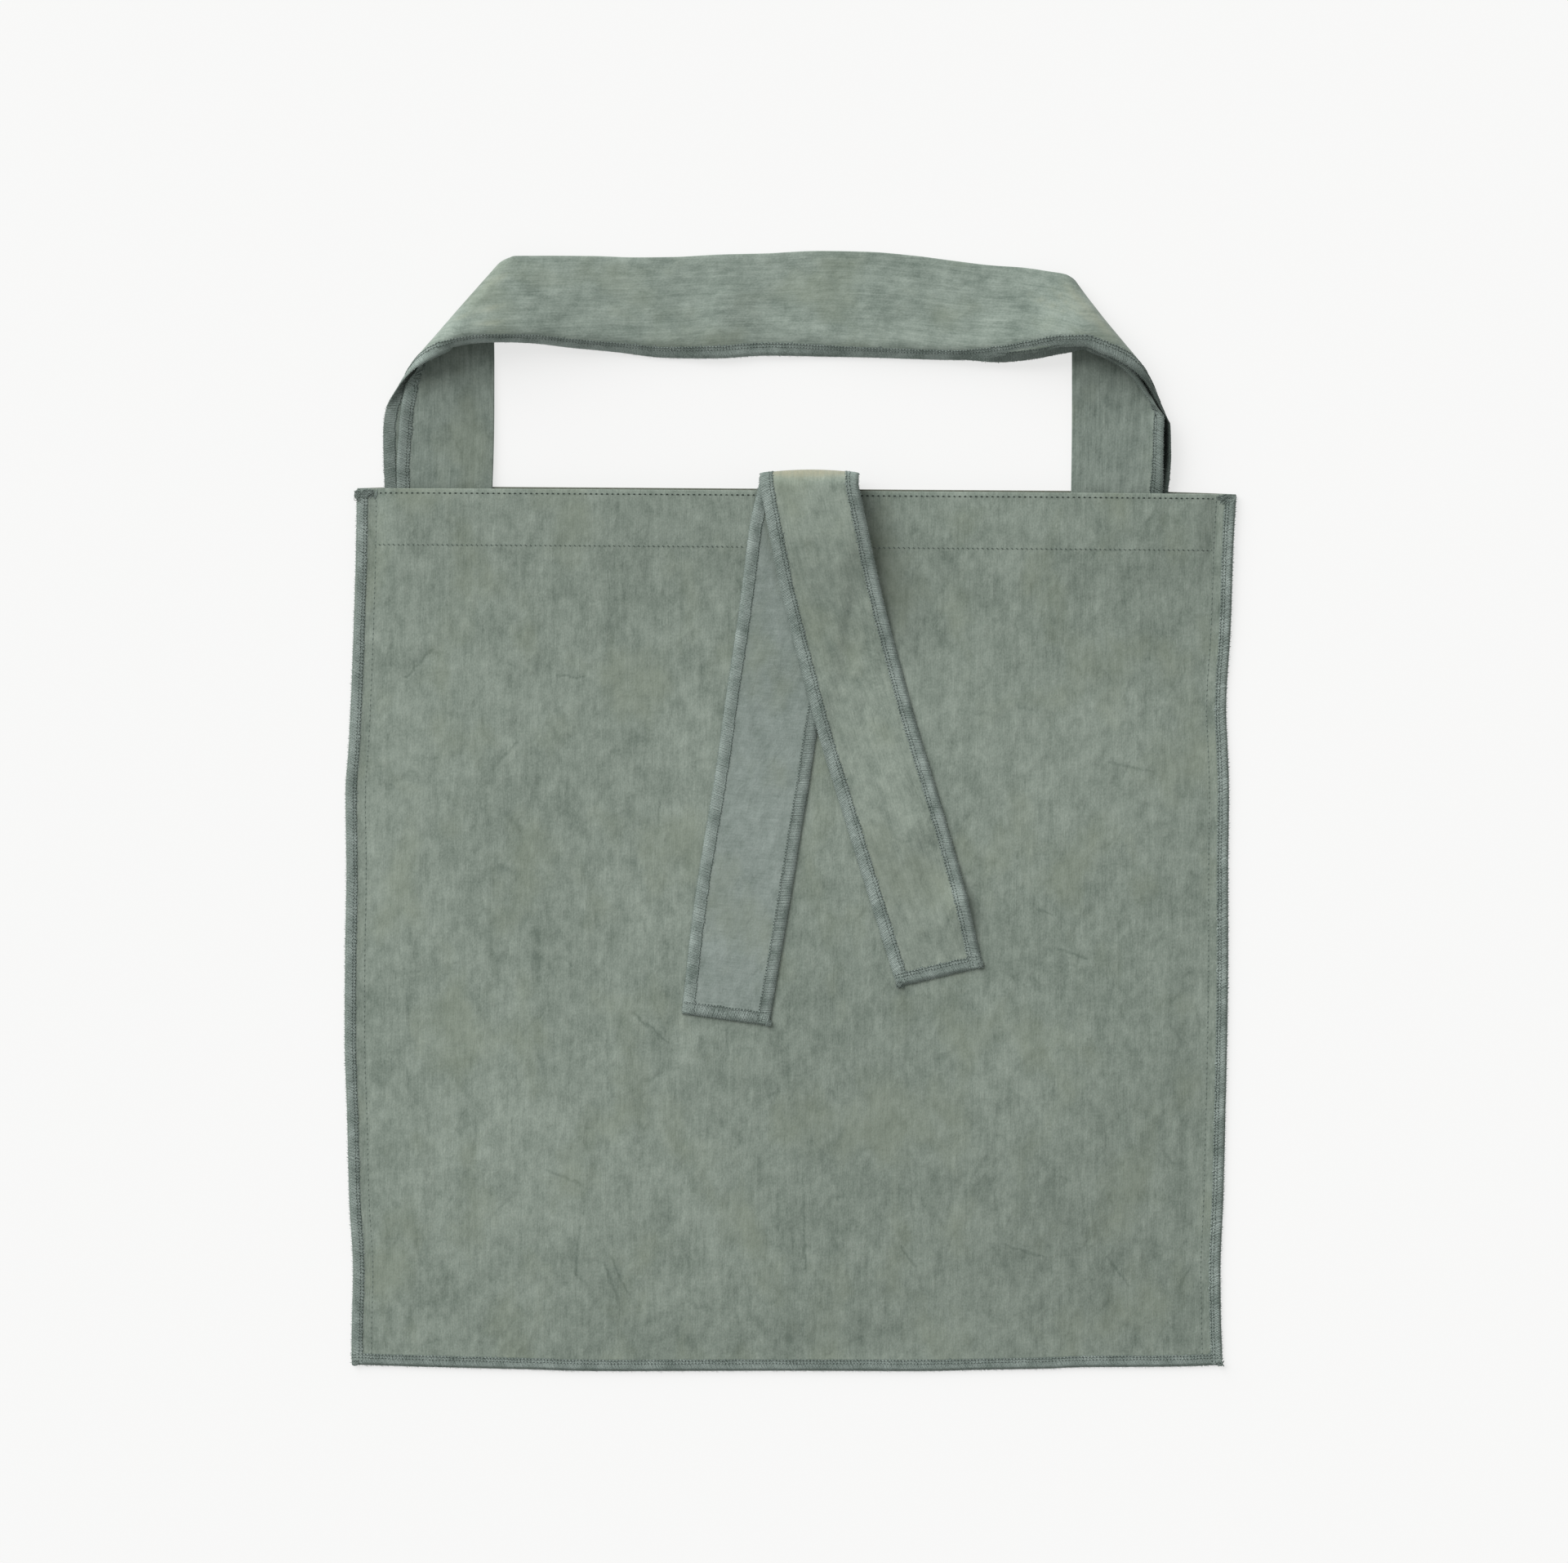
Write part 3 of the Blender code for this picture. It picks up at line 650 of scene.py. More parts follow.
def modelThread(path, thickness, pitch=1.0, flat=1.0):
    # A thread along a path of along, by the pitch, inward, up, width and shade: a round curve,
    # made a mesh and pressed flat. It is four-sided, because there are thousands of them.
    path = [(x * pitch, *rest) for x, *rest in path]
    deselect()
    bpy.ops.curve.primitive_nurbs_path_add()
    curve = bpy.context.object.data
    curve.splines.clear()
    spline = curve.splines.new("POLY")
    spline.points.add(len(path) - 1)
    for point, (x, y, z, width, shade) in zip(spline.points, path):
        point.co = (x, y, z, 1.0)
        point.radius = width
    curve.dimensions = "3D"
    curve.bevel_depth = thickness / 2
    curve.bevel_resolution = 0
    curve.use_fill_caps = True
    bpy.ops.object.convert(target="MESH")
    thread = bpy.context.object
    places = np.array([vertex.co[:] for vertex in thread.data.vertices])
    faces = [tuple(face.vertices) for face in thread.data.polygons]
    bpy.data.objects.remove(thread)
    knots = np.array(path)
    nearest = np.argmin(np.linalg.norm(places[:, None] - knots[None, :, :3], axis=2), axis=1)
    places[:, 2] = knots[nearest, 2] + (places[:, 2] - knots[nearest, 2]) * flat
    return places, faces, knots[nearest, 4]


def sewAlong(band, stitches, pitch, seed, skip=0.0, loose=0.05, share=1.0):
    # copies of the stitches, each a little uneven, bent to the band
    places, ups = band
    travel = travelAlong(places[:, 0])
    starts = np.arange(skip, travel[-1] - skip - pitch, pitch)
    uneven = np.random.default_rng(seed)
    sewn = []
    for shape, faces, shade in stitches:
        kept = starts[uneven.random(len(starts)) < share]
        shift = uneven.normal(0.0, loose, (len(kept), 3, 1))
        along = kept[:, None] + shape[:, 0] + shift[:, 0]
        deep = shape[:, 1] * (1.0 + shift[:, 1]) / sewingPlan["step"]
        high = shape[:, 2] * (1.0 + shift[:, 2])
        row = np.interp(along, travel, np.arange(len(travel)))
        k = np.clip(row.astype(int), 0, len(travel) - 2)
        step = np.clip(deep.astype(int), 0, sewingPlan["steps"] - 1)
        a = (row - k)[..., None]
        b = (deep - step)[..., None]
        fitted = []
        for grid in (places, ups):
            near = grid[k, step] * (1 - a) + grid[k + 1, step] * a
            far = grid[k, step + 1] * (1 - a) + grid[k + 1, step + 1] * a
            fitted.append(near * (1 - b) + far * b)
        world = fitted[0] + unit(fitted[1]) * high[..., None]
        sewn.append((world.reshape(-1, 3), faces, len(kept), shade))
    return sewn


def makeSewing(name, rows, dimmed=None):
    # Joins what sewAlong gave into one piece. Dimmed gives the share of shade on each row's places.
    corners = []
    faces = []
    shades = []
    total = 0
    for k, sewn in enumerate(rows):
        for places, shapeFaces, count, shade in sewn:
            for copy in range(count):
                start = total + copy * len(shade)
                faces += [tuple([start + corner for corner in face]) for face in shapeFaces]
            corners.append(places)
            shaded = np.tile(shade, count)
            if dimmed:
                shaded = shaded + (1.0 - shaded) * dimmed(places, k)
            shades.append(shaded)
            total += len(places)
    mesh = bpy.data.meshes.new(name)
    mesh.from_pydata((np.concatenate(corners) * mm).tolist(), [], faces)
    layer = mesh.attributes.new("shade", "FLOAT", "POINT")
    layer.data.foreach_set("value", np.concatenate(shades).astype(np.float32))
    mesh.shade_smooth()
    sewing = bpy.data.objects.new(name, mesh)
    bpy.context.scene.collection.objects.link(sewing)
    return sewing


def mirrored(path, side):
    # a stitch from its first half: the second goes back the same way, on this side of the row
    return [*path, *[(1.0 - x, y * side, *rest) for x, y, *rest in path[::-1]]]


def overlockStitch(half, rows, pitch):
    # Two needle threads hold the looper threads down on top, and show below as one row. Where
    # they go down, the thread is in shade.
    paths = [
        ((0.0, row, half + 0.15, 1.6, 0.9), (0.17, row, half + 0.16, 1.5, 0.7),
         (0.34, row, half + 0.18, 1.2, 0.0))
        for row in rows
    ]
    paths.append(((0.0, rows[0], -half, 1.5, 1.0), (0.3, rows[0] - 0.5, -0.2 - half, 1.0, 0.1)))
    return [modelThread(mirrored(path, 1.0), sewingPlan["needle"], pitch) for path in paths]


def looperStrand(half, rows, pitch):
    # A looper thread goes over the cloth, round its raw edge and back below it. There are two
    # to a stitch, and they lie against each other.
    top = half + 0.06
    reach = rows[0] + 0.4
    path = (
        (0.0, reach, top - 0.06, 0.9, 0.1), (0.9, reach * 0.72, top, 1.05, 0.0),
        (2.1, reach * 0.3, top, 1.1, 0.0), (2.9, -0.12, top * 0.6, 0.8, 0.0),
        (2.95, -0.12, -top * 0.6, 0.8, 0.05), (3.6, reach * 0.4, -top, 1.1, 0.0),
        (4.4, reach * 0.95, 0.1 - top, 0.9, 0.1),
    )
    return [modelThread(path, sewingPlan["looper"], pitch, sewingPlan["pressed"])]


def lockstitch(pitch, slant, width, depth):
    half = bag["cloth"] / 2
    path = (
        (0.0, -slant, half - 0.04, width, depth), (0.16, -slant, half - 0.02, width * 0.8, depth),
        (0.25, -slant * 0.5, half - 0.1, 1.0, 0.0),
    )
    return [modelThread(mirrored(path, -1.0), sewingPlan["lockstitch"], pitch)]


def tangle(x, y, z, reachX, reachY, seed):
    # the knotted end of the overlocking: one thread looped over itself
    uneven = np.random.default_rng(seed)
    t = np.linspace(0.0, 1.0, 120)
    turns = uneven.uniform(6.0, 16.0, (2, 2))
    starts = uneven.uniform(0.0, 6.3, (2, 2))
    waves = np.sin(2 * math.pi * t * turns[..., None] + starts[..., None])
    offset = 0.55 * waves[0] + 0.45 * waves[1]
    height = 0.3 * np.sin(2 * math.pi * t * 15.0)
    path = np.stack([
        x + reachX * offset[0], y + reachY * offset[1], z + height, np.ones(len(t)),
        np.clip(-height * 2.0, 0.0, 0.5),
    ], axis=1)
    places, faces, shade = modelThread(path.tolist(), sewingPlan["needle"])
    return [(places, faces, 1, shade)]


# Materials

def srgb(code):
    # a hex colour as the linear colour that a node takes
    parts = [int(code[k:k + 2], 16) / 255 for k in (1, 3, 5)]
    linear = [part / 12.92 if part <= 0.04045 else ((part + 0.055) / 1.055) ** 2.4 for part in parts]
    return (*linear, 1.0)


def addNode(tree, kind, inputs, **settings):
    node = tree.nodes.new("ShaderNode" + kind)
    for name, value in settings.items():
        setattr(node, name, value)
    for name, value in inputs.items():
        socket = node.inputs[name]
        if isinstance(value, bpy.types.NodeSocket):
            tree.links.new(value, socket)
        else:
            socket.default_value = value
    return next(output for output in node.outputs if output.enabled)


def newMaterial(name, sockets):
    # sockets are what is the same all over, set on the shader itself
    material = bpy.data.materials.new(name)
    material.use_nodes = True
    shader = material.node_tree.nodes["Principled BSDF"]
    for socket, value in sockets.items():
        shader.inputs[socket].default_value = value
    return material, material.node_tree, shader


def wovenCotton(side, **changes):
    # Plain-woven cotton, dyed and washed: matt, with uneven yarns that show as fine streaks,
    # soft mottling from the wash, and short crinkles where it was crumpled, darkened as painted shade.
    look = {**cottonLook, **changes}
    material, tree, shader = newMaterial("washed woven cotton, " + side, {
        "Roughness": 0.92, "IOR": 1.5, "Specular IOR Level": 0.3,
        "Sheen Weight": 0.12, "Sheen Roughness": 0.5,
    })
    weave = addNode(tree, "UVMap", {}, uv_map="weave")
    facts = {
        fact: addNode(tree, "Attribute", {}, attribute_name=fact).node.outputs["Fac"]
        for fact in ("edge", "wearAndShade", "shaded")
    }

    # uneven fields: size across and along the strip in millimetres, seed and detail
    fields = {}
    for field, (across, along, seed, detail) in {
        "yarns": (*look["yarn"], 1.0, 1.0), "grain": (0.8, 1.1, 2.0, 1.0),
        "slubs": (*look["slub"], 3.0, 2.0), "blotches": (4.5, 6.0, 4.0, 2.0),
        "mottle": (*look["mottle"], 7.7, 3.0), "patches": (75.0, 95.0, 11.3, 1.0),
        "wrinkles": (9.0, 13.0, 21.0, 2.0), "folds": (17.0, 27.0, 27.0, 2.0),
        "faded": (30.0, 44.0, 15.0, 3.0), "crumpled": (9.0, 12.6, 7.3, 2.0),
        "creased": (18.0, 27.6, 14.3, 2.0), "stray": (5.0, 6.0, 3.0, 3.0),
    }.items():
        place = addNode(tree, "Mapping", {
            "Vector": weave, "Scale": (1 / (across * mm), 1 / (along * mm), 1.0),
            "Location": (seed, seed * 0.7, 0.0),
        })
        fields[field] = addNode(
            tree, "TexNoise", {"Vector": place, "Scale": 1.0, "Detail": detail},
            noise_dimensions="2D",
        )

    # crinkles: short lines along the borders of uneven cells, where a field is high
    stray = fields["stray"].node.outputs["Color"]
    strayed, unsteady = [
        addNode(
            tree, "VectorMath", {0: stray, 1: (far, far, 0.0), 2: weave}, operation="MULTIPLY_ADD"
        )
        for far in (0.004, 0.003)
    ]
    falling = {"To Min": 1.0, "To Max": 0.0}
    crinkles = 0.0
    for field, across, along, width, low in (
        ("crumpled", 15.0, 21.0, 0.09, 0.56), ("creased", 30.0, 46.0, 0.045, 0.54),
    ):
        place = addNode(tree, "Mapping", {
            "Vector": strayed, "Scale": (1 / (across * mm), 1 / (along * mm), 1.0),
        })
        border = addNode(
            tree, "TexVoronoi", {"Vector": place, "Scale": 1.0},
            voronoi_dimensions="2D", feature="DISTANCE_TO_EDGE",
        )
        line = addNode(tree, "MapRange", {**falling, "Value": border, "From Max": width})
        here = addNode(
            tree, "MapRange", {"Value": fields[field], "From Min": low, "From Max": low + 0.16}
        )
        line = addNode(tree, "Math", {0: line, 1: here}, operation="MULTIPLY")
        crinkles = addNode(tree, "Math", {0: crinkles, 1: line}, operation="MAXIMUM")

    # drawn creases: soft lines from point to point, a little unsteady
    drawn = 0.0
    for x0, y0, x1, y1 in look["lines"]:
        # the field's middle value is taken out again at the start of the line
        first = ((x0 + 1.5) * mm, (y0 + 1.5) * mm, 0.0)
        way = ((x1 - x0) * mm, (y1 - y0) * mm, 0.0)
        length = math.hypot(way[0], way[1])
        offset = addNode(tree, "VectorMath", {0: unsteady, 1: first}, operation="SUBTRACT")
        scaled = tuple([part / length ** 2 for part in way])
        along = addNode(tree, "VectorMath", {0: offset, 1: scaled}, operation="DOT_PRODUCT")
        along = addNode(tree, "MapRange", {"Value": along})
        onLine = addNode(tree, "VectorMath", {0: way, 3: along}, operation="SCALE")
        gap = addNode(tree, "VectorMath", {0: offset, 1: onLine}, operation="DISTANCE")
        gap = addNode(tree, "MapRange", {**falling, "Value": gap, "From Max": 1.1 * mm})
        drawn = addNode(tree, "Math", {0: drawn, 1: gap}, operation="MAXIMUM")

    # the tone, from dark to light: the dye's uneven fields, less painted shade along the crinkles and
    # the drawn creases
    tone = 0.5 - sum(look["tones"].values()) / 2
    for layer, strength in (
        *[(fields[field], strength) for field, strength in look["tones"].items()],
        (crinkles, -look["creaseTone"]), (drawn, -look["lineShade"]),
    ):
        tone = addNode(tree, "Math", {0: layer, 1: strength, 2: tone}, operation="MULTIPLY_ADD")
    colour = addNode(
        tree, "Mix", {0: tone, 6: srgb(look["dark"]), 7: srgb(look["light"])}, data_type="RGBA"
    )
    # Olive where the dye has faded in soft patches; another tone where a fold has been rubbed, which
    # on the back's mouth is a dark tone painted as the shade between the panels; painted shade, mixed
    # towards black by the shaded share; and grey in the shade of the overlocking.
    olive = addNode(
        tree, "MapRange",
        {"Value": fields["faded"], "From Min": 0.52, "From Max": 0.72, "To Max": 0.35},
    )
    rubbed = addNode(
        tree, "MapRange",
        {"Value": fields["slubs"], "From Min": 0.3, "From Max": 0.6, "To Min": 0.7},
    )
    rubbed = addNode(tree, "Math", {0: facts["wearAndShade"], 1: rubbed}, operation="MULTIPLY")
    sewn = addNode(
        tree, "MapRange",
        {"Value": facts["edge"], "From Min": 5.4, "From Max": 6.0, "To Min": 0.7, "To Max": 0.0},
    )
    for share, other in (
        (olive, look["olive"]), (rubbed, look["rubbed"]), (facts["shaded"], "#000000"),
        (sewn, look["shade"]),
    ):
        colour = addNode(tree, "Mix", {0: share, 6: colour, 7: srgb(other)}, data_type="RGBA")
    tree.links.new(colour, shader.inputs["Base Color"])

    # Relief in millimetres. The real yarns are about 0.35 mm apart. They and their slubs are
    # drawn coarser, at look["yarn"] and look["slub"], as they would not show otherwise.
    ridges = {}
    for field in ("wrinkles", "folds"):
        away = addNode(tree, "Math", {0: fields[field], 1: 0.5}, operation="SUBTRACT")
        away = addNode(tree, "Math", {0: away}, operation="ABSOLUTE")
        ridges[field] = addNode(tree, "MapRange", {**falling, "Value": away, "From Max": 0.16})
    height = 0.0
    for layer, strength in (
        (fields["yarns"], 0.05), (fields["grain"], 0.06), (fields["slubs"], 0.06),
        (fields["blotches"], 0.22), (ridges["wrinkles"], 0.07), (ridges["folds"], 0.1),
        (crinkles, -0.07),
    ):
        height = addNode(tree, "Math", {0: layer, 1: strength, 2: height}, operation="MULTIPLY_ADD")
    bump = addNode(tree, "Bump", {"Height": height, "Strength": 1.0, "Distance": mm})
    tree.links.new(bump, shader.inputs["Normal"])
    return material


def sewingThread(seam, dark, light, hole):
    # Spun sewing thread, dyed to the cloth: soft and dull, with loose fibres. Where a stitch
    # goes down through the cloth it is in shade.
    material, tree, shader = newMaterial(
        "spun polyester thread, " + seam, {"Roughness": 0.85, "IOR": 1.5, "Specular IOR Level": 0.3}
    )
    place = addNode(tree, "TexCoord", {}).node.outputs["Object"]
    fuzz = addNode(
        tree, "TexNoise",
        {"Vector": place, "Scale": 1 / (0.6 * mm), "Detail": 2.0, "Roughness": 0.6},
    )
    dyed = addNode(tree, "TexNoise", {"Vector": place, "Scale": 1 / (9.0 * mm), "Detail": 2.0})
    tone = addNode(tree, "Math", {0: fuzz, 1: dyed}, operation="ADD")
    tone = addNode(tree, "MapRange", {"Value": tone, "From Min": 0.7, "From Max": 1.3})
    colour = addNode(tree, "Mix", {0: tone, 6: srgb(dark), 7: srgb(light)}, data_type="RGBA")
    shade = addNode(tree, "Attribute", {}, attribute_name="shade").node.outputs["Fac"]
    colour = addNode(tree, "Mix", {0: shade, 6: colour, 7: srgb(hole)}, data_type="RGBA")
    tree.links.new(colour, shader.inputs["Base Color"])
    bump = addNode(tree, "Bump", {"Height": fuzz, "Strength": 0.6, "Distance": 0.15 * mm})
    tree.links.new(bump, shader.inputs["Normal"])
    return material


cottonTones = {
    "yarns": 0.34, "grain": 0.56, "slubs": 0.36, "blotches": 0.62, "mottle": 0.82, "patches": 0.4,
}
cottonLook = {
    "dark": "#6a766c", "light": "#98a398", "olive": "#848d7a", "rubbed": "#9c9982",
    "shade": "#626e68", "lines": (), "lineShade": 0.36, "tones": cottonTones, "creaseTone": 0.20,
    "yarn": (0.6, 7.0), "slub": (1.8, 24.0), "mottle": (12.0, 18.0),
}
rightSide = wovenCotton("right side", lines=fineCreases)
# the back's rubbed tone is dark: painted shade for the gap between the panels at the mouth
insideMouth = wovenCotton("back", rubbed="#64675c")
strapCotton = wovenCotton(
    "strap", dark="#6c7970", light="#9aa69c", rubbed="#aaad94", yarn=(0.7, 12.0),
    tones={**cottonTones, "yarns": 0.46, "slubs": 0.62, "mottle": 0.92},
)
tieCotton = wovenCotton("tie", dark="#6e7a70", light="#9ca79b", mottle=(10.0, 15.0))
wrongSide = wovenCotton(
    "wrong side", dark="#737f78", light="#95a09a", yarn=(7.0, 0.8), slub=(14.0, 2.4), creaseTone=0.15
)
overlockThread = sewingThread("overlocking", "#6b7871", "#9faba5", "#3a443f")
stitchThread = sewingThread("lockstitch", "#727e76", "#8d998f", "#3a433e")

# Cloth pieces

print("panels")


def fromRawEdges(points):
    side, bottom = fromSeams(points[..., 0], points[..., 1])
    return np.minimum(np.minimum(side, bottom), 20.0)


frontPoints, frontStrip = panelGrid(frontHeight, 0.0, -1.0, bag["frontGrid"])
# the front's shaded share is the painted shade listed in bag
makeSheet(
    "front_cloth", frontPoints, frontStrip,
    {"edge": fromRawEdges(frontPoints),
     "shaded": creaseHeight(frontPoints[..., 0], frontPoints[..., 1], bag["paintedShade"])},
)
backPoints, backStrip = panelGrid(backHeight, bag["backProud"], 1.0, bag["backGrid"])
# painted shade: the back's strip along the mouth, where it shows between the panels, is mixed to its
# dark tone
makeSheet(
    "back_cloth", backPoints, backStrip,
    {"edge": fromRawEdges(backPoints), "wearAndShade": ease(1.0 - np.abs(backStrip[..., 1]) / 3.0)},
)

print("strap")
strapAcross = strap["across"]
strapPoints, strapStrip = strapGrid(strapAcross, strap["steps"])
fromFold = np.abs(strapStrip[..., 0])
# painted shade on the legs: darker where they lie low under the run, most towards the top
onLegs = ease((16.0 - strapPoints[..., 2] - 0.4 * (strapPoints[..., 1] - 212.0)) / 10.0)
onLegs = onLegs * (0.62 + 0.38 * ease((strapPoints[..., 1] - 185.0) / 40.0))
rubbedRun = np.clip(creaseHeight(strapPoints[..., 0], strapPoints[..., 1], strap["rubbed"]), 0, 1)
strapEdge = np.full(fromFold.shape, 20.0)
strapEdge[:, :strapAcross] = (fromFold[:, :1] - fromFold)[:, :strapAcross]
strapEdge[:, -strapAcross:] = (fromFold[:, -1:] - fromFold)[:, -strapAcross:]
makeSheet(
    "strap_cloth", strapPoints, strapStrip,
    {"edge": np.clip(strapEdge, 0.0, 20.0), "wearAndShade": rubbedRun * (1.0 - onLegs),
     "shaded": onLegs * np.where(strapPoints[..., 0] > 0.0, *strap["legShade"])},
)

print("ties")
mouthFront = float(frontHeight(10.0, mouthAt(0.5) - bag["pitch"]))
lowerPoints, lowerStrip = tieGrid(
    "front", mouthFront - 2 * bag["pitch"], tieFrontHeight, steps=15, arching=0.6
)
upperPoints, upperStrip = tieGrid(
    "back", bag["lowest"] + 2 * bag["pitch"], tieBackHeight, steps=16, arching=1.6
)


def tieEdge(strip):
    side = np.minimum(strip[..., 0], strip[..., 0].max() - strip[..., 0])
    end = strip[..., 1].max() - strip[..., 1]
    return np.clip(np.minimum(side, end), 0.0, 20.0)


fromMiddle = (2.0 * upperStrip[..., 0] / upperStrip[..., 0].max() - 1.0) ** 2
upperFade = 0.75 * ease((upperPoints[..., 1] - 161.0 - 2.0 * fromMiddle) / 4.0)
upperFade = upperFade * ease((upperPoints[..., 2] - 6.0) / 6.0)  # not below its far side
lowerFade = 0.3 * ease((lowerPoints[..., 1] - 158.0) / 5.0)
makeSheet("tie_front_cloth", lowerPoints, lowerStrip, {"edge": tieEdge(lowerStrip), "wearAndShade": lowerFade})
# painted shade on the upper tie: darker towards its lower end
makeSheet(
    "tie_back_cloth", upperPoints, upperStrip,
    {"edge": tieEdge(upperStrip), "wearAndShade": upperFade,
     "shaded": 0.10 * ease((20.0 - upperPoints[..., 1]) / 50.0)},
)

# Stitches

print("sewing")
bodyRows = bag["frontGrid"][1]
frontOuter = frontPoints[:bodyRows]
frontX = frontOuter[:, :, 0]
seamRow = lockstitch(sewingPlan["seamPitch"], slant=0.05, width=1.4, depth=0.4)
makeSewing("hem_stitches", [
    sewAlong(bandOn(frontOuter, frontStrip[:bodyRows, :, 1], level, 1.0),
             lockstitch(pitch, slant, width, depth), pitch, 31 + k, skip=9.0)
    for k, (level, pitch, slant, width, depth) in enumerate(bag["hemRows"])
])
turned = np.swapaxes(frontOuter, 0, 1)
makeSewing("seam_stitches", [
    sewAlong(bandOn(turned, fromSide.T, bag["seam"], -1.0), seamRow,
             sewingPlan["seamPitch"], 33 + k, skip=0.6)
    for k, fromSide in enumerate((frontX - frontX[:, :1], frontX[:, -1:] - frontX))
])

# a loose fibre at a raw edge
whisker = [modelThread(
    ((0.0, 0.2, 0.0, 1.0, 0.1), (0.1, -0.4, 0.05, 0.9, 0.1), (0.3, -0.75, 0.0, 0.4, 0.1)),
    sewingPlan["whisker"],
)]


def overlocked(band, kind, seed):
    half, pitch, rows = sewingPlan[kind]
    parts = sewAlong(band, looperStrand(half, rows, pitch / 2), pitch / 2, seed, loose=0.045)
    parts += sewAlong(band, overlockStitch(half, rows, pitch), pitch, seed + 25, loose=0.03)
    parts += sewAlong(band, whisker, sewingPlan["whiskerPitch"], seed + 50, loose=0.25)
    return parts


makeSewing("side_overlock", [
    overlocked(bandBeside(frontOuter, edge, 1.0, bag["pitch"] / 2), "body", seed)
    for edge, seed in (("first", 41), ("last", 42))
])
makeSewing("bottom_overlock", [
    overlocked(bandBeside(frontOuter, "start", 1.0, bag["pitch"] / 2), "body", 43)
])


def strapShade(places, layer):
    # painted shade on the overlocking: the raw edges on the legs lie under the run, the outer one
    # inside the other's curl at the right, and the inner layer's lip at the right corner lies under
    # the outer one
    x, y = places[:, 0], places[:, 1]
    atRight = x > 0.0
    below = ease((np.where(atRight, 222.0, 208.0) - y) / 14.0)
    lip = 0.6 * ease((x - 92.0) / 10.0) * ease((240.0 - y) / 10.0) * (layer == 1)
    right, left = strap["edgeShade"]
    return np.maximum(below * np.where(atRight, right[layer], left[layer]), lip * (1.0 - below))


makeSewing("strap_overlock", [
    overlocked(bandBeside(strapPoints, edge, -1.0, covered=12), "small", seed)
    for edge, seed in (("first", 44), ("last", 45))
], strapShade)
for name, points, facing, seed in (
    ("tie_front_overlock", lowerPoints, 1.0, 46), ("tie_back_overlock", upperPoints, -1.0, 49),
):
    makeSewing(name, [
        overlocked(bandBeside(points, edge, facing), "small", seed + k)
        for k, edge in enumerate(("first", "last", "end"))
    ])

print("thread ends")
# at the mouth the overlocking runs over the top of the seam for a finger's width
topPlaces, topUps = bandBeside(frontOuter, "end", 1.0, bag["pitch"] / 2)
half, pitch = sewingPlan["body"][:2]
wrapped = looperStrand(half, (3.6,), pitch / 2)


def threadShade(places, layer):
    # bunched thread shades itself
    return np.full(len(places), 0.3)


knots = []
for x, y, reachX, reachY, heightAt in (
    (-208.4, 155.4, 4.4, 2.2, frontHeight), (-212.0, 154.6, 1.6, 2.6, frontHeight),
    (212.4, 153.8, 3.8, 1.4, frontHeight), (-213.2, -270.0, 1.6, 1.4, frontHeight),
    (210.6, -270.4, 1.6, 1.4, frontHeight), (53.4, -84.6, 1.9, 1.7, tieBackHeight),
    (92.8, -75.0, 1.6, 1.8, tieBackHeight), (-10.8, -103.6, 1.5, 1.4, tieFrontHeight),
):
    height = float(heightAt(np.float64(x), np.float64(y)))
    knots.append(tangle(x, y, height + 0.45, reachX, reachY, 61 + len(knots)))
makeSewing("thread_ends", [
    sewAlong((topPlaces[:11], topUps[:11]), wrapped, sewingPlan["wrapPitch"], 66, loose=0.14),
    sewAlong((topPlaces[-9:], topUps[-9:]), wrapped, sewingPlan["wrapPitch"], 67, loose=0.14),
    *knots,
], threadShade)

# What each piece stands for, rides on and is made of

# piece: the node it stands for, slot, material, flat size in metres, how it is held, what it is on
pieces = {
    "front_cloth": ("front_panel", "front_cloth", rightSide, (0.430, 0.457), "laid", "back_cloth"),
    "back_cloth": ("back_panel", "back_cloth", insideMouth, (0.430, 0.458), "laid", "floor"),
    "strap_cloth": ("strap", "strap_cloth", strapCotton, (0.093, 0.557), "folded", "floor"),
    "tie_front_cloth": (
        "tie_front", "tie_wrong_side", wrongSide, (0.046, 0.306), "draped", "front_cloth"
    ),
    "tie_back_cloth": (
        "tie_back", "tie_right_side", tieCotton, (0.047, 0.305), "draped", "front_cloth"
    ),
}
sewing = {
    "hem_stitches": ("front_cloth", stitchThread),
    "seam_stitches": ("front_cloth", stitchThread),
    "side_overlock": ("front_cloth", overlockThread),
    "bottom_overlock": ("front_cloth", overlockThread),
    "strap_overlock": ("strap_cloth", overlockThread),
    "thread_ends": ("front_cloth", overlockThread),
    "tie_front_overlock": ("tie_wrong_side", overlockThread),
    "tie_back_overlock": ("tie_right_side", overlockThread),
}

# Floor, light and camera

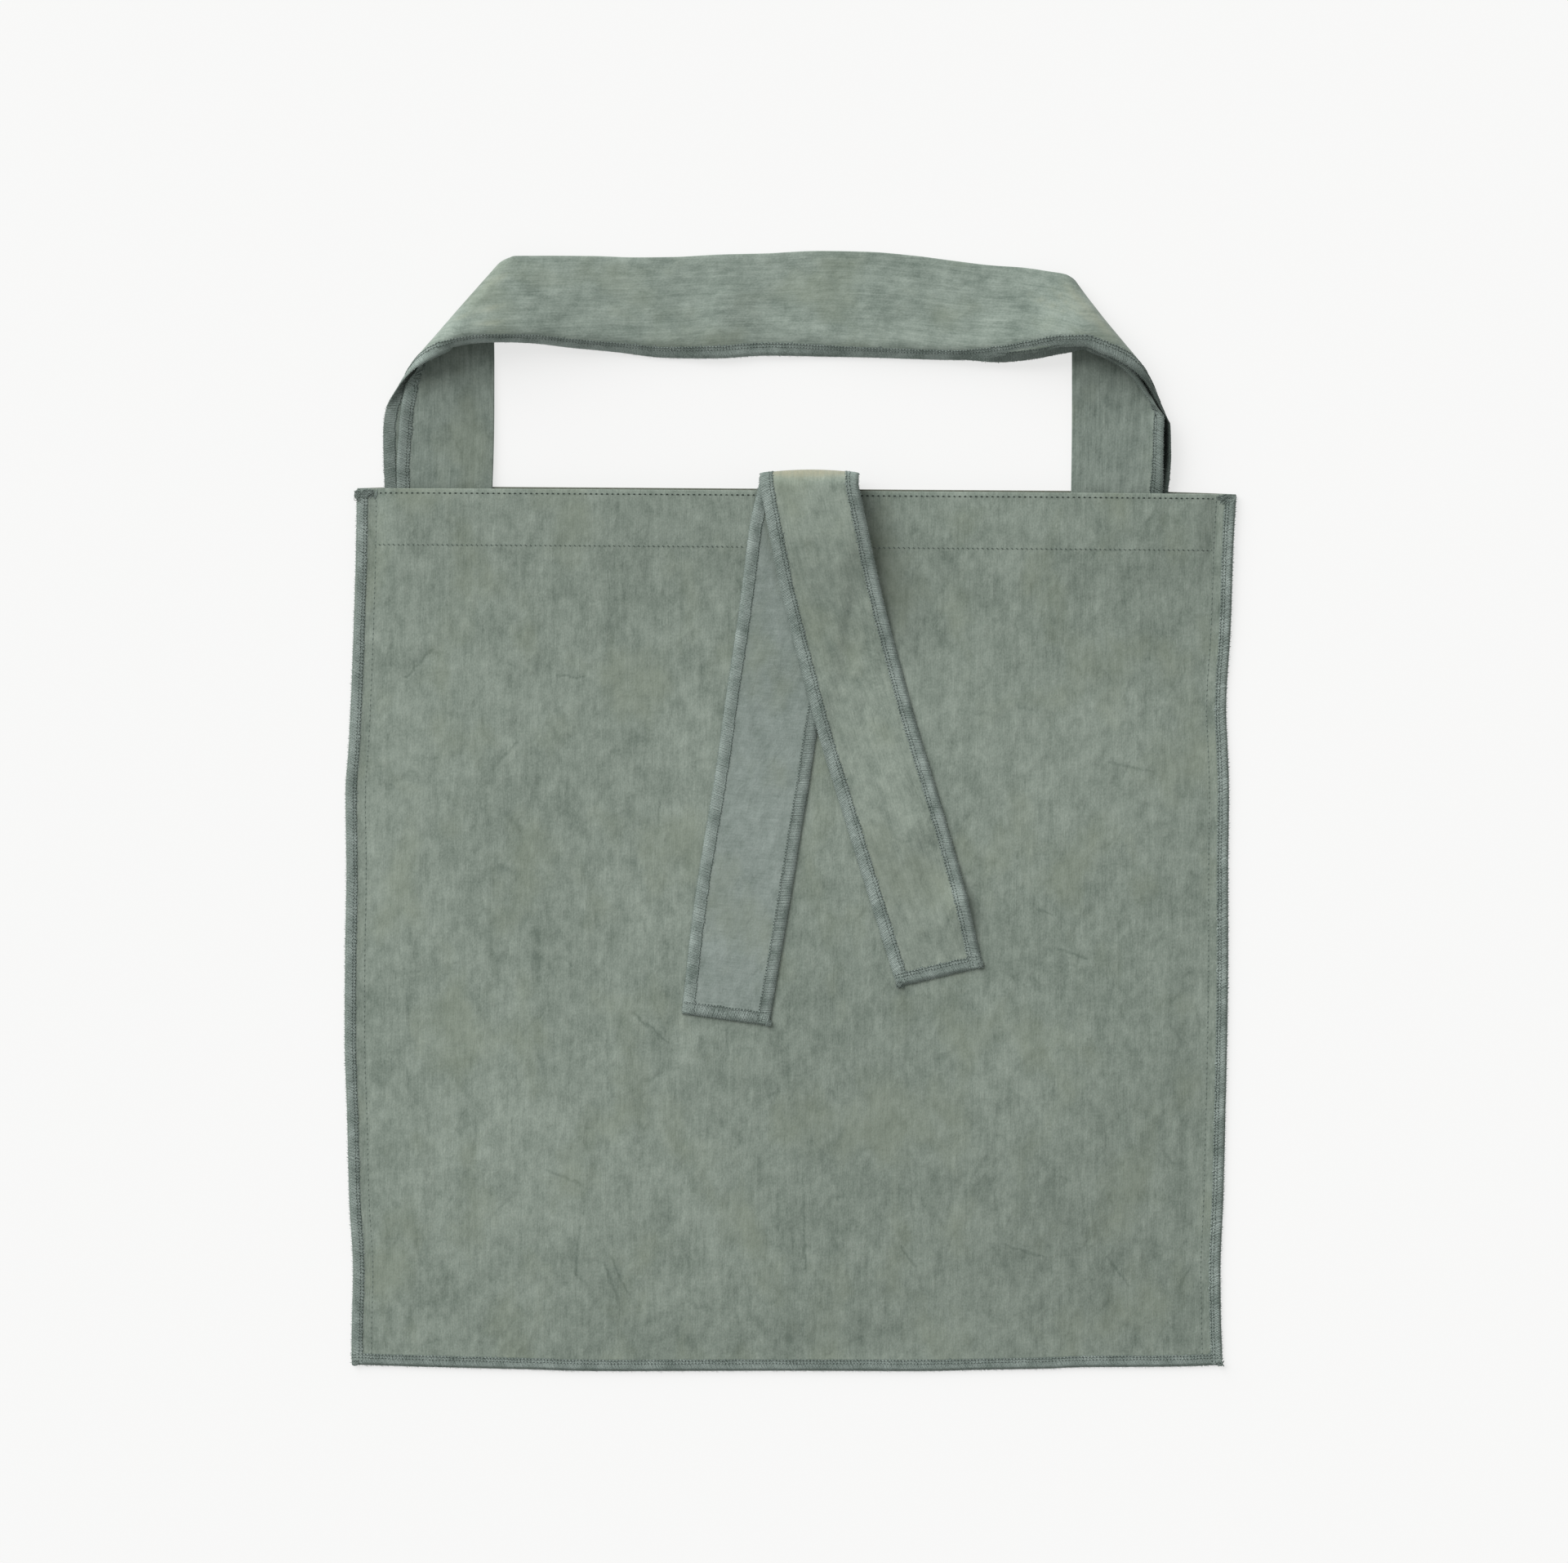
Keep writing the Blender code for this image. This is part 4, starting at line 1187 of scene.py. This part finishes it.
print("floor, light and camera")
studio = {
    "frameWidth": 768.0,  # what the picture's width takes in
    "centre": (-3.2, 14.6),
    "distance": 3500.0,
    "sunFrom": (-0.60, 0.63, 0.49),
    "sunSpread": 55.0,  # degrees across, as a large soft box gives
    "sun": 3.13,
    "sky": 0.45,
    "floorShare": 0.30,  # how much of the light on it the floor gives back, and its own light
    "floorGlow": 0.722,
}
deselect()
bpy.ops.mesh.primitive_plane_add(size=8.0, location=(0.0, 0.0, -0.0002))
floor = bpy.context.object
floor.name = "floor"
# a white acrylic table, lit a little from below
acrylic = newMaterial("white acrylic table", {
    "Base Color": tuple([part * studio["floorShare"] for part in srgb("#f7f7f7")[:3]] + [1.0]),
    "Roughness": 0.9, "Specular IOR Level": 0.1,
    "Emission Color": srgb("#f8f8f7"), "Emission Strength": studio["floorGlow"],
})[0]
floor.data.materials.append(acrylic)

for name, (node, slot, material, flat, held, under) in pieces.items():
    piece = bpy.data.objects[name]
    piece.data.materials.append(material)
    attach(piece, "root")
    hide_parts(node)
for name, (slot, material) in sewing.items():
    piece = bpy.data.objects[name]
    piece.data.materials.append(material)
    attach(piece, "root")
    print(name, sum(len(face.vertices) - 2 for face in piece.data.polygons), "triangles")

camera = bpy.data.cameras.new("camera")
camera.sensor_fit = "HORIZONTAL"
camera.sensor_width = 36.0
camera.lens = 36.0 * studio["distance"] / studio["frameWidth"]
camera.clip_end = 20.0
cameraStand = bpy.data.objects.new("camera", camera)
cameraStand.location = [part * mm for part in (*studio["centre"], studio["distance"])]
bpy.context.scene.collection.objects.link(cameraStand)
bpy.context.scene.camera = cameraStand

sun = bpy.data.lights.new("soft box", "SUN")
sun.angle = math.radians(studio["sunSpread"])
sun.energy = studio["sun"]
sunStand = bpy.data.objects.new("soft box", sun)
sunStand.location = studio["sunFrom"]
sunX, sunY, sunZ = studio["sunFrom"]
sunStand.rotation_euler = (
    math.atan2(math.hypot(sunX, sunY), sunZ), 0.0, math.atan2(sunY, sunX) + math.pi / 2,
)
bpy.context.scene.collection.objects.link(sunStand)

world = bpy.data.worlds.new("white room")
world.use_nodes = True
background = world.node_tree.nodes["Background"].inputs
background["Color"].default_value = srgb("#ffffff")
background["Strength"].default_value = studio["sky"]
bpy.context.scene.world = world
bpy.context.scene.view_settings.view_transform = "Standard"
